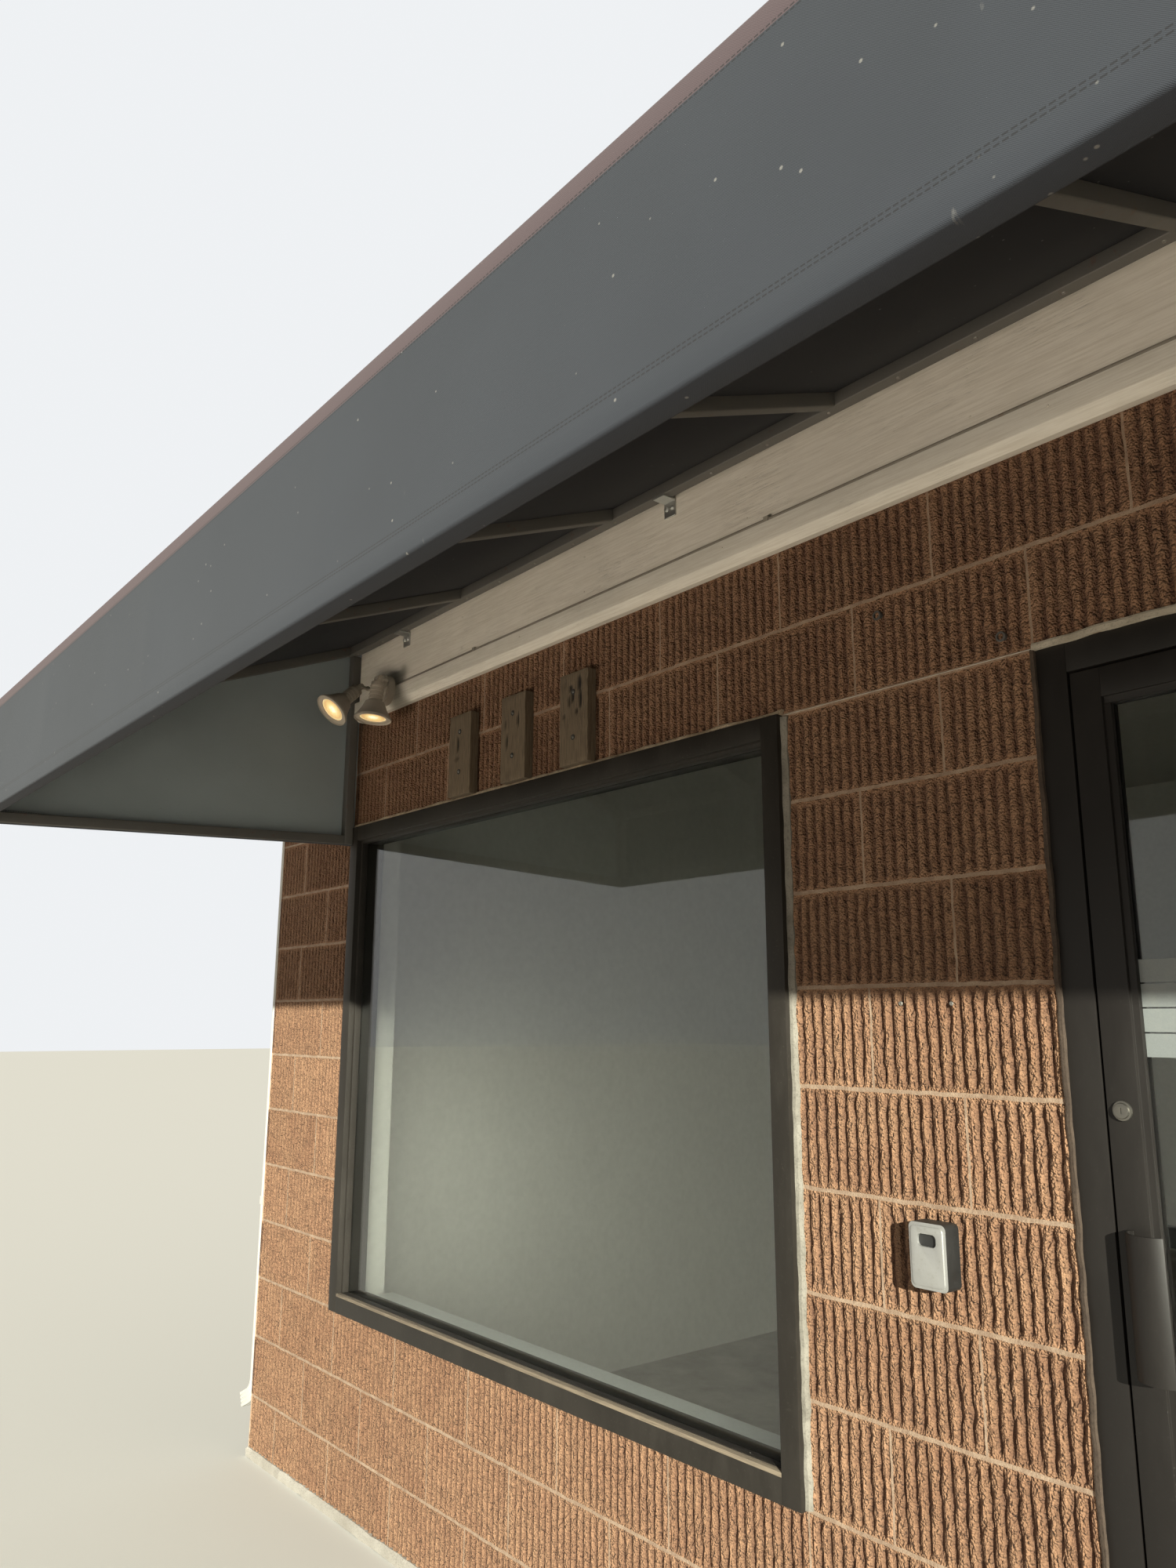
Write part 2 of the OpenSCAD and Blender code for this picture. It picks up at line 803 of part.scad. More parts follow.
module awning_rafters() {
    color("#5a5856") front() for (x = rafter_xs) across(x, tube)
        polygon([[rear_y, rear_z], [front_y + tube, front_z], [front_y + tube, front_z - rafter_drop],
            [rear_y, rear_z - rafter_drop]]);
}

module awning_end_rails() {
    color("#5a5856") front() for (x = [-end_x, end_x]) across(x, tube)
        polygon([[wall_tube_y - tube, hem_z + hem_rise], [front_y + tube, hem_z],
            [front_y + tube, hem_z + tube], [wall_tube_y - tube, hem_z + hem_rise + tube]]);
}

module awning_brackets() {
    bolt_r = 6;
    color("gray") front() for (x = bracket_xs) translate([x, -fascia_t, rear_z - tube]) union() {
        box_between([-bracket_w / 2, -rear_gap - tube, -bracket_t], [bracket_w / 2, 0, 0]);
        box_between([-bracket_w / 2, -bracket_t, -bracket_h], [bracket_w / 2, 0, 0]);
        for (side = [-1, 1]) translate([side * bracket_w / 4, -bracket_t, -bracket_h / 2])
            rotate([90, 0, 0]) cylinder(h = bolt_r, r = bolt_r, $fn = 6);
    }
}

// Awning cloth: top and front between the two end panels, the top folded at two hairline seams

module awning_top_cloth() {
    fold_y = front_y + tube;
    color("#3a3e48") front() across(0, 2 * awning_x) {
        translate([rear_y, rear_z]) square([-fascia_t - rear_y, cloth_t]);
        polygon([[rear_y - seam, rear_z], [fold_y, front_z], [fold_y, front_z + cloth_t],
            [rear_y - seam, rear_z + cloth_t]]);
        translate([front_y, front_z]) square([tube - seam, cloth_t]);
    }
}

module awning_front_cloth() {
    color("#3a3e48") front()
        box_between([-awning_x, -awning_out, hem_z], [awning_x, front_y, front_z + cloth_t]);
}

module awning_end_cloths() {
    color("#3a3e48") front() both_sides() across(awning_x + cloth_t / 2, cloth_t)
        polygon([[0, hem_z + hem_rise], [-tube, hem_z + hem_rise], [front_y + tube, hem_z],
            [-awning_out, hem_z], [-awning_out, front_z + cloth_t],
            [front_y + tube, front_z + cloth_t], [rear_y, rear_z + cloth_t], [0, rear_z + cloth_t]]);
}

// Twin lamps: a round box on the batten, two stems and two bells that tilt

module rod(a, b, r) {
    d = b - a;
    translate(a) rotate([0, acos(d[2] / norm(d)), atan2(d[1], d[0])]) cylinder(h = norm(d), r = r);
}

module lamp_box() {
    lid_t = 4;
    lid_in = 5;
    ball_r = arm_r + 1.5;
    color("#6b6258") front() difference() {
        union() {
            translate([box_x, -batten_t, box_z]) rotate([90, 0, 0]) union() {
                cylinder(h = box_d - lid_t, r = box_r);
                cylinder(h = box_d, r = box_r - lid_in);
            }
            for (side = [-1, 1]) {
                pivot = [box_x + side * lamp_step / 2, lamp_y, lamp_z];
                elbow = pivot + [0, stem_neck, 0];
                rod([box_x + side * stem_root, box_y + cut, box_z], elbow, arm_r);
                translate(elbow) sphere(r = ball_r);
                rod(elbow, pivot, stem_r);
                translate(pivot) rotate([0, 90, 0]) cylinder(h = knuckle_w, r = knuckle_r, center = true);
            }
        }
        for (side = [-1, 1]) translate([box_x + side * lamp_step / 2, lamp_y, lamp_z])
            rotate([0, 90, 0]) cylinder(h = 2 * knuckle_w, r = knuckle_pin_r + pin_clear, center = true);
    }
}

module lamp_at(side, tilt) {
    front() translate([box_x + side * lamp_step / 2, lamp_y, lamp_z]) rotate([-tilt, 0, 0])
        children();
}

module fork() {
    cheek_t = 5;
    gap = 0.5;
    span = knuckle_w + 2 * (gap + cheek_t);
    rotate([0, 90, 0]) cylinder(h = span, r = knuckle_pin_r, center = true);
    both_sides() translate([knuckle_w / 2 + gap, 0, 0]) {
        rotate([0, 90, 0]) cylinder(h = cheek_t, r = knuckle_r);
        translate([0, -knuckle_r, -fork_drop]) cube([cheek_t, 2 * knuckle_r, fork_drop]);
    }
}

module bell() {
    bevel = 5;
    lip = 2;
    crown = 10;
    rib = 2;
    top = lamp_l - fork_drop;
    neck_z = shoulder_z + bevel;
    color("#6b6258") union() {
        fork();
        translate([0, 0, -lamp_l]) rotate_extrude() polygon([[lamp_r - bell_t, 0], [lamp_r, 0],
            [lamp_r, rim_h], [lamp_r - bevel, rim_h + bevel], [waist_r, waist_z],
            [shoulder_r, shoulder_z], [neck_r, neck_z], [neck_r, top], [0, top],
            [0, shoulder_z - crown], [shoulder_r - bell_t, shoulder_z - crown],
            [waist_r - bell_t, waist_z], [lens_r + lip, rim_h + lens_t], [lens_r, rim_h + lens_t],
            [lens_r, rim_h], [lens_r - lip, rim_h], [lens_r - lip, rim_h / 2],
            [lamp_r - bell_t, rim_h / 2]]);
        for (i = [0:neck_rib_n - 1])
            translate([0, 0, neck_z - lamp_l + bevel + i * neck_rib_step])
                cylinder(h = neck_rib_step / 2, r = neck_r + rib);
    }
}

module lens() {
    seat = 0.2;
    color("khaki") translate([0, 0, rim_h - lamp_l]) cylinder(h = lens_t, r = lens_r - seat);
}

module left_lamp_bell() {
    lamp_at(-1, left_tilt) bell();
}

module left_lamp_lens() {
    lamp_at(-1, left_tilt) lens();
}

module right_lamp_bell() {
    lamp_at(1, right_tilt) bell();
}

module right_lamp_lens() {
    lamp_at(1, right_tilt) lens();
}

// Small fittings on the wall

module wood_blocks() {
    color("#6b5142") front() for (i = [0:block_n - 1])
        translate([-window_x - window_w + block_in + i * block_step, 0, head_z + block_up])
            box_between([-block_w / 2, -block_t, 0], [block_w / 2, 0, block_h]);
}

module rounded(w, h, r) {
    square([w - 2 * r, h], center = true);
    square([w, h - 2 * r], center = true);
    for (x = [-1, 1], z = [-1, 1]) translate([x * (w / 2 - r), z * (h / 2 - r)]) circle(r);
}

module key_box() {
    corner_r = 10;
    plate_t = 3;
    margin = 6;
    slot_h = 22;
    slot_r = 8;
    slot_in = 30;
    color("#24262a") front() translate([-doorway_w / 2 - key_in, 0, key_z]) rotate([90, 0, 0])
        difference() {
            union() {
                linear_extrude(key_d - plate_t) rounded(key_w, key_h, corner_r);
                translate([0, 0, key_d - plate_t]) linear_extrude(plate_t)
                    rounded(key_w - 2 * margin, key_h - 2 * margin, corner_r - 2);
            }
            translate([0, key_h / 2 - slot_in, key_d - 2 * plate_t]) linear_extrude(3 * plate_t)
                rounded(key_w / 2, slot_h, slot_r);
        }
}

floor_slab();
corner_piers();
window_aprons();
door_piers();
front_head_wall();
left_side_wall();
right_side_wall();
back_wall();
roof_deck();
roof_edge();
roof_gutter();
downspout();
window_jambs();
window_rails();
window_glass();
window_ledges();
inner_boards();
door_jambs();
door_head();
door_threshold();
pivot_arms();
door_stiles();
door_rails();
door_glass();
pivot_sleeves();
door_lock();
door_pull();
push_bar();
fascia_board();
fascia_batten();
fascia_conduit();
awning_rear_tube();
awning_front_tubes();
awning_struts();
awning_rafters();
awning_end_rails();
awning_brackets();
awning_top_cloth();
awning_front_cloth();
awning_end_cloths();
lamp_box();
left_lamp_bell();
left_lamp_lens();
right_lamp_bell();
right_lamp_lens();
wood_blocks();
key_box();
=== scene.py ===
# %% [markdown]
# # A corner shop in ribbed block
#
# The shop is one storey of brown ribbed concrete block with two display windows, a dark glazed door between
# them and a deep cloth awning over all three.

# %% Load the frame
import json
import math

import bmesh
import bpy
import numpy as np
from mathutils import Matrix, Vector, noise

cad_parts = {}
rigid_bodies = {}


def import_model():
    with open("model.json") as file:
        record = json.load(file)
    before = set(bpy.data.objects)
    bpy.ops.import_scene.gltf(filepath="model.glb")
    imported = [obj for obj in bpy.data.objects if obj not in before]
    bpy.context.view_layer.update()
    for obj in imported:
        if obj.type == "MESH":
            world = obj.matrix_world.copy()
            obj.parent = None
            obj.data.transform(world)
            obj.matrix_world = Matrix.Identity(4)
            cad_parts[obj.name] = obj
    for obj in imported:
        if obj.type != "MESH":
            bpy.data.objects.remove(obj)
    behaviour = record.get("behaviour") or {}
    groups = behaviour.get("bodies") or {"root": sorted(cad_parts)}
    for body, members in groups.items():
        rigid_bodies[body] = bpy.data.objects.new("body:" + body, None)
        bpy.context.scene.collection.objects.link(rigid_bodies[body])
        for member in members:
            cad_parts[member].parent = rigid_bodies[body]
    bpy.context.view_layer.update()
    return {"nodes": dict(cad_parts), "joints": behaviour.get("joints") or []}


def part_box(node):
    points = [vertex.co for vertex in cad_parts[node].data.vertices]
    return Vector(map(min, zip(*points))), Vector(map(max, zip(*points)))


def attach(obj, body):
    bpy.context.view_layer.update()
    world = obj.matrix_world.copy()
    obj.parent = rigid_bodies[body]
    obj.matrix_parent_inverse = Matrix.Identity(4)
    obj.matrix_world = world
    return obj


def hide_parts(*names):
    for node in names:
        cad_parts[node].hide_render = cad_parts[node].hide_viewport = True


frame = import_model()
nodes = frame["nodes"]
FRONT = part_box("corner_piers")[0].y
print("nodes:", len(nodes), "front plane at y", round(FRONT, 4))

# %% [markdown]
# The viewer stands close to the door, left of its middle, and looks up along the left window. A wide lens
# from 1.55 m above the ground gives the steep lines of the awning. The lens follows from the picture's long
# side, which is the side that the sensor's 36 mm lie on.

# %% Camera
EYE = (0.51745, -5.15065, 1.55452)
YAW, TILT, ROLL = math.radians(50.827), math.radians(11.890), math.radians(0.2448)
FOCAL_PX, LONG_SIDE_PX, SENSOR = 1435.4, 2000, 36
ahead = Vector((-math.sin(YAW) * math.cos(TILT), math.cos(YAW) * math.cos(TILT), math.sin(TILT)))
level = Vector((math.cos(YAW), math.sin(YAW), 0))
upright = level.cross(ahead)
right = math.cos(ROLL) * level + math.sin(ROLL) * upright
top = -math.sin(ROLL) * level + math.cos(ROLL) * upright

camera = bpy.data.objects.new("camera", bpy.data.cameras.new("camera"))
bpy.context.scene.collection.objects.link(camera)
camera.matrix_world = Matrix.Translation(EYE) @ Matrix((right, top, -ahead)).transposed().to_4x4()
camera.data.sensor_width = SENSOR
camera.data.lens = FOCAL_PX / LONG_SIDE_PX * SENSOR
camera.data.clip_end = 200
bpy.context.scene.camera = camera
print("lens", round(camera.data.lens, 2), "mm")

# %% [markdown]
# A soft studio: a wide pale floor, and a pale world that lights a little and shows plain to the camera and
# through glass. Low daylight comes from the right as a sun, which grazes the ribs and throws the awning's
# shadow across the wall. A long weak strip low down in front shines up into the shade under the awning. The
# floor throws back less light than it shows, so the shade stays deep.

# %% Stage and light


def pale_floor():
    mesh = bpy.data.meshes.new("floor")
    size = 60
    corners = [(-size, -size, 0), (size, -size, 0), (size, size, 0), (-size, size, 0)]
    mesh.from_pydata(corners, [], [(0, 1, 2, 3)])
    floor = bpy.data.objects.new("floor", mesh)
    bpy.context.scene.collection.objects.link(floor)
    paint = bpy.data.materials.new("floor_paint")
    paint.use_nodes = True
    tree = paint.node_tree
    principled = tree.nodes["Principled BSDF"]
    principled.inputs["Roughness"].default_value = 0.9
    rays = tree.nodes.new("ShaderNodeLightPath")
    tone = tree.nodes.new("ShaderNodeMix")
    tone.data_type = "RGBA"
    tone.inputs[6].default_value = (0.66, 0.65, 0.62, 1)
    tone.inputs[7].default_value = (0.34, 0.31, 0.27, 1)
    tree.links.new(rays.outputs["Is Diffuse Ray"], tone.inputs[0])
    tree.links.new(tone.outputs[2], principled.inputs["Base Color"])
    mesh.materials.append(paint)


def pale_world(strength):
    world = bpy.data.worlds.new("studio")
    bpy.context.scene.world = world
    world.use_nodes = True
    tree = world.node_tree
    plain = tree.nodes["Background"]
    plain.inputs["Color"].default_value = (1.0, 0.95, 0.88, 1)
    plain.inputs["Strength"].default_value = strength
    shown = tree.nodes.new("ShaderNodeBackground")
    shown.inputs["Color"].default_value = (0.86, 0.88, 0.9, 1)
    rays = tree.nodes.new("ShaderNodeLightPath")
    seen = tree.nodes.new("ShaderNodeMath")
    seen.operation = "MAXIMUM"
    tree.links.new(rays.outputs["Is Camera Ray"], seen.inputs[0])
    tree.links.new(rays.outputs["Is Transmission Ray"], seen.inputs[1])
    pick = tree.nodes.new("ShaderNodeMixShader")
    tree.links.new(seen.outputs[0], pick.inputs[0])
    tree.links.new(plain.outputs[0], pick.inputs[1])
    tree.links.new(shown.outputs[0], pick.inputs[2])
    tree.links.new(pick.outputs[0], tree.nodes["World Output"].inputs["Surface"])


def lamp(name, kind, where, aim, power, colour, **settings):
    light = bpy.data.lights.new(name, kind)
    light.energy = power
    light.color = colour
    for setting, value in settings.items():
        setattr(light, setting, value)
    obj = bpy.data.objects.new(name, light)
    obj.location = where
    obj.rotation_euler = (Vector(aim) - Vector(where)).to_track_quat("-Z", "Y").to_euler()
    obj.visible_camera = False
    bpy.context.scene.collection.objects.link(obj)


pale_floor()
pale_world(0.5)
lamp("daylight", "SUN", (9.6, -9.25, 3.6), (0, -3.25, 1.1), 9.4, (0.96, 0.96, 0.82), angle=math.radians(0.7))
lamp("fill", "AREA", (0, -7.4, 0.12), (0, -3.27, 2.95), 12, (1.0, 0.86, 0.70),
     shape="RECTANGLE", size=7.6, size_y=0.3, spread=math.radians(36))
bpy.context.scene.view_settings.view_transform = "Standard"
print("stage and light are set")

# %% [markdown]
# Nodes do most of the work from here on, in the finishes and in the Geometry Nodes trees. Two small helpers
# keep that readable: one adds a node and links its inputs in order, the other does the same for arithmetic.

# %% Node helpers


def put(tree, kind, *values, output=0, **settings):
    node = tree.nodes.new(kind)
    for name, value in settings.items():
        setattr(node, name, value)
    for socket, value in zip([s for s in node.inputs if s.enabled], values):
        if isinstance(value, bpy.types.NodeSocket):
            tree.links.new(value, socket)
        elif value is not None:
            socket.default_value = value
    return [s for s in node.outputs if s.enabled][output]


def sums(tree):
    return lambda operation, *values: put(tree, "ShaderNodeMath", *values, operation=operation)


def new_tree(name, inputs):
    tree = bpy.data.node_groups.new(name, "GeometryNodeTree")
    tree.interface.new_socket("Geometry", in_out="INPUT", socket_type="NodeSocketGeometry")
    for title, kind, value in inputs:
        socket = tree.interface.new_socket(title, in_out="INPUT", socket_type="NodeSocket" + kind)
        if value is not None:
            socket.default_value = value
    tree.interface.new_socket("Geometry", in_out="OUTPUT", socket_type="NodeSocketGeometry")
    given = tree.nodes.new("NodeGroupInput").outputs
    return tree, given, tree.nodes.new("NodeGroupOutput").inputs[0]


def grow(name, mesh, tree, **inputs):
    """Runs a tree on a mesh and returns the result as a plain object."""
    seed_obj = bpy.data.objects.new(name + "_seed", mesh)
    bpy.context.scene.collection.objects.link(seed_obj)
    modifier = seed_obj.modifiers.new("grow", "NODES")
    modifier.node_group = tree
    sockets = {s.name: s.identifier for s in tree.interface.items_tree if s.in_out == "INPUT"}
    for title, value in inputs.items():
        modifier[sockets[title.replace("_", " ")]] = value
    seed_obj.update_tag()
    graph = bpy.context.evaluated_depsgraph_get()
    made = bpy.data.meshes.new_from_object(seed_obj.evaluated_get(graph))
    made.name = name
    bpy.data.objects.remove(seed_obj)
    obj = bpy.data.objects.new(name, made)
    bpy.context.scene.collection.objects.link(obj)
    print(name, len(made.polygons), "faces")
    return obj


# %% [markdown]
# ## Ribbed block
#
# The blocks are split along vertical ribs, eight to the half block, so the light catches rough ridges and
# falls into dark grooves. Laid in running bond, the joints of one course sit over the middles of the next.
# Both follow one rule, so the wall is grown by Geometry Nodes: a blank with mesh lines where grooves and
# joints may fall gives each point its distance along the outside of the building, and the tree works out
# from that and from the height which points sink, by how much, and which faces are mortar.

# %% Wall finishes
HALF, COURSE, JOINT, PITCH = 0.2032, 0.2032, 0.008, 0.0254
half_w = -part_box("corner_piers")[0].x
wall_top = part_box("front_head_wall")[1].z
back_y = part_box("back_wall")[1].y


def new_material(name, roughness=0.8, metallic=0.0):
    material = bpy.data.materials.new(name)
    material.use_nodes = True
    tree = material.node_tree
    principled = tree.nodes["Principled BSDF"]
    principled.inputs["Roughness"].default_value = roughness
    principled.inputs["Metallic"].default_value = metallic
    place = put(tree, "ShaderNodeTexCoord", output=3)
    return material, tree, principled, place


def grain(tree, place, scale, detail=3.0, roughness=0.6, stretch=None):
    if stretch:
        place = put(tree, "ShaderNodeMapping", place, None, None, stretch)
    return put(tree, "ShaderNodeTexNoise", place, scale, detail, roughness)


def ramp(tree, value, *stops):
    node = tree.nodes.new("ShaderNodeValToRGB")
    tree.links.new(value, node.inputs[0])
    while len(node.color_ramp.elements) < len(stops):
        node.color_ramp.elements.new(0.5)
    for element, (at, colour) in zip(node.color_ramp.elements, stops):
        element.position = at
        element.color = (*colour, 1) if hasattr(colour, "__len__") else (colour, colour, colour, 1)
    return node.outputs[0]


def mixed(tree, amount, a, b, blend="MIX"):
    node = tree.nodes.new("ShaderNodeMix")
    node.data_type, node.blend_type = "RGBA", blend
    for socket, value in zip((node.inputs[0], node.inputs[6], node.inputs[7]), (amount, a, b)):
        if isinstance(value, bpy.types.NodeSocket):
            tree.links.new(value, socket)
        else:
            socket.default_value = (*value, 1) if hasattr(value, "__len__") else value
    return node.outputs[2]


def set_bump(tree, principled, height, strength, distance):
    node = tree.nodes.new("ShaderNodeBump")
    node.inputs["Strength"].default_value = strength
    node.inputs["Distance"].default_value = distance
    tree.links.new(height, node.inputs["Height"])
    tree.links.new(node.outputs[0], principled.inputs["Normal"])


def read(tree, name):
    return put(tree, "ShaderNodeAttribute", attribute_name=name, output=2)


def block_finish():
    material, tree, principled, place = new_material("ribbed_block", 0.93)
    m = sums(tree)
    tone = mixed(tree, read(tree, "shade"), (0.272, 0.142, 0.079), (0.352, 0.194, 0.112))
    patches = ramp(tree, grain(tree, place, 9, 4), (0.35, 0.0), (0.7, 1.0))
    tone = mixed(tree, m("MULTIPLY", patches, 0.35), tone, (0.46, 0.285, 0.165))
    stones = ramp(tree, put(tree, "ShaderNodeTexVoronoi", place, 240.0), (0.0, 1.0), (0.24, 0.0))
    picked = ramp(tree, grain(tree, place, 130, 1), (0.55, 0.0), (0.62, 1.0))
    tone = mixed(tree, m("MULTIPLY", stones, m("MULTIPLY", picked, 0.6)), tone, (0.60, 0.45, 0.32))
    dark = ramp(tree, grain(tree, place, 140, 1, 0.4), (0.36, 1.0), (0.50, 0.0))
    tone = mixed(tree, m("MULTIPLY", dark, 0.30), tone, (0.105, 0.050, 0.030))
    # Painted shade: each point darkens towards dark brown by how deep it lies in its groove
    sunk = m("MULTIPLY", read(tree, "sunk"), 0.78)
    tone = mixed(tree, sunk, tone, (0.090, 0.040, 0.025))
    tree.links.new(tone, principled.inputs["Base Color"])
    crumbs = put(tree, "ShaderNodeTexVoronoi", place, 215.0)
    lumps = m("SUBTRACT", grain(tree, place, 100, 2, 0.45), m("MULTIPLY", crumbs, 0.45))
    set_bump(tree, principled, lumps, 1.0, 0.013)
    return material


def mortar_finish():
    material, tree, principled, place = new_material("mortar", 0.95)
    tone = ramp(tree, grain(tree, place, 30, 5), (0.3, (0.27, 0.182, 0.126)), (0.75, (0.46, 0.34, 0.245)))
    sand = ramp(tree, grain(tree, place, 320, 2), (0.38, 1.0), (0.5, 0.0))
    tone = mixed(tree, sums(tree)("MULTIPLY", sand, 0.4), tone, (0.22, 0.13, 0.09))
    tree.links.new(tone, principled.inputs["Base Color"])
    set_bump(tree, principled, grain(tree, place, 260, 4, 0.7), 0.7, 0.002)
    return material


def paint_finish(name, colour, roughness=0.6, wear=0.1, worn=(0.3, 0.26, 0.2), scale=6.0, bump=0.2):
    material, tree, principled, place = new_material(name, roughness)
    dirt = ramp(tree, grain(tree, place, scale, 6, 0.7), (0.42, 0.0), (0.8, 1.0))
    tone = mixed(tree, sums(tree)("MULTIPLY", dirt, wear), colour, worn)
    fine = ramp(tree, grain(tree, place, scale * 22, 3), (0.3, 0.94), (0.7, 1.03))
    tone = mixed(tree, 1.0, tone, fine, "MULTIPLY")
    tree.links.new(tone, principled.inputs["Base Color"])
    set_bump(tree, principled, grain(tree, place, scale * 40, 3), bump, 0.0008)
    return material


block = block_finish()
mortar = mortar_finish()
plaster = paint_finish("inside_plaster", (0.60, 0.58, 0.53), 0.8, 0.25, (0.42, 0.40, 0.36), 1.5)
print("finishes:", block.name, mortar.name, plaster.name)

# %% [markdown]
# The blank is a closed box. Its outer faces are grids with a mesh line on each edge of a groove and of a
# joint, and its other faces stay single polygons, so no triangle is spent where nothing shows. Each grid
# point carries the way out of the wall, its distance along the outside, and a mark where it lies on a real
# edge of the wall, so that corners and window edges stay straight and closed.

# %% Wall blanks
RISE = 15
NEAR = 1e-6


def lines(low, high, pitch, offsets, start=0.0):
    found = [low, high]
    for i in range(int((low - start) / pitch) - 2, int((high - start) / pitch) + 3):
        found += [start + i * pitch + o for o in offsets]
    found = sorted(v for v in found if low - NEAR <= v <= high + NEAR)
    return [v for i, v in enumerate(found) if i == 0 or v - found[i - 1] > 2e-4]


def along_outside(side, x, y):
    """Distance round the outside, from the left front corner to the right; the left side counts back."""
    if side == "front":
        return x + half_w
    if side == "right":
        return 2 * half_w + y - FRONT
    if side == "back":
        return 2 * half_w + (back_y - FRONT) + (half_w - x)
    return -(y - FRONT)


OUT = {"front": (0, -1, 0), "back": (0, 1, 0), "left": (-1, 0, 0), "right": (1, 0, 0)}
# Mesh lines round each groove's middle; the plain set serves the walls that are seen from further off
GROOVE = (-0.0060, -0.0025, 0.0025, 0.0060, 0.0127)
PLAIN_GROOVE = (-0.0055, 0.0, 0.0055)


def wall_blank(name, low, high, ribbed, straight, rise, groove):
    """A closed box with fine grids as ribbed sides. straight gives the heights where an end is an edge."""
    (x0, y0, z0), (x1, y1, z1) = low, high
    xs = lines(x0, x1, PITCH, groove, -half_w)
    ys = lines(y0, y1, PITCH, groove, FRONT)
    zs = lines(z0, z1, COURSE, [-JOINT / 2, JOINT / 2] + [
        JOINT / 2 + (COURSE - JOINT) * i / rise for i in range(1, rise)])
    index, points, faces, marks = {}, [], [], {}

    def point(x, y, z):
        key = (round(x, 5), round(y, 5), round(z, 5))
        if key not in index:
            index[key] = len(points)
            points.append((x, y, z))
        return index[key]

    def grid(side, us, place):
        for u in us:
            for z in zs:
                x, y = place(u)
                i = point(x, y, z)
                at_end = u in (us[0], us[-1])
                out = OUT[side] if i not in marks else (0, 0, 0)
                edge = float(at_end and straight(side, u == us[-1], z))
                marks[i] = (out, along_outside(side, x, y), float(side in ("left", "right")), edge)
        for a, b in zip(us, us[1:]):
            for c, d in zip(zs, zs[1:]):
                corners = [point(*place(u), z) for u, z in ((a, c), (b, c), (b, d), (a, d))]
                faces.append(corners)

    for side, us, place in (("front", xs, lambda u: (u, y0)), ("right", ys, lambda u: (x1, u)),
                            ("back", xs[::-1], lambda u: (u, y1)), ("left", ys[::-1], lambda u: (x0, u))):
        if side in ribbed:
            grid(side, us, place)

    def edge_points(a, b):
        """Points from corner a to corner b, with the lines of a ribbed side that it borders."""
        steps = {a, b}
        if a[2] != b[2]:
            touches = {"front": a[1] == y0, "back": a[1] == y1, "left": a[0] == x0, "right": a[0] == x1}
            if any(touches[s] for s in ribbed):
                steps |= {(a[0], a[1], z) for z in zs}
        elif a[0] != b[0]:
            if ("front" if a[1] == y0 else "back") in ribbed:
                steps |= {(x, a[1], a[2]) for x in xs}
        elif ("left" if a[0] == x0 else "right") in ribbed:
            steps |= {(a[0], y, a[2]) for y in ys}
        axis = next(i for i in range(3) if a[i] != b[i])
        return sorted(steps, key=lambda v: v[axis], reverse=a[axis] > b[axis])[:-1]

    def plain(*loop):
        ring = []
        for a, b in zip(loop, loop[1:] + loop[:1]):
            ring += [point(*v) for v in edge_points(a, b)]
        faces.append(ring)

    plain((x0, y0, z1), (x1, y0, z1), (x1, y1, z1), (x0, y1, z1))
    plain((x0, y1, z0), (x1, y1, z0), (x1, y0, z0), (x0, y0, z0))
    for side, a, b in (("front", (x0, y0), (x1, y0)), ("back", (x1, y1), (x0, y1)),
                       ("left", (x0, y1), (x0, y0)), ("right", (x1, y0), (x1, y1))):
        if side not in ribbed:
            plain((*a, z0), (*b, z0), (*b, z1), (*a, z1))
    mesh = bpy.data.meshes.new(name)
    mesh.from_pydata(points, [], faces)
    out = np.zeros((len(points), 3), np.float32)
    rest = np.zeros((3, len(points)), np.float32)
    for i, (way, along, turned, edge) in marks.items():
        out[i] = way
        rest[:, i] = along, turned, edge
    mesh.attributes.new("out", "FLOAT_VECTOR", "POINT").data.foreach_set("vector", out.ravel())
    for row, title in zip(rest, ("along", "turned", "edge")):
        mesh.attributes.new(title, "FLOAT", "POINT").data.foreach_set("value", row)
    shown = np.zeros(len(faces), np.float32)
    shown[:len([f for f in faces if len(f) == 4 and all(i in marks for i in f)])] = 1
    mesh.attributes.new("ribbed", "FLOAT", "FACE").data.foreach_set("value", shown)
    mesh.materials.append(plaster)
    return mesh


print("grid lines at", [round(v * 1000, 1) for v in GROOVE], "mm round each groove")

# %% [markdown]
# In the tree, rounding the distance along the wall finds the nearest groove and the nearest half block, and
# the odd or even course decides whether a joint falls there. Noise moves the points a little sideways and
# in and out, which splits the ribs as a hammer does. The numbers stay inputs, so another block is a matter
# of other values.

# %% Wall tree


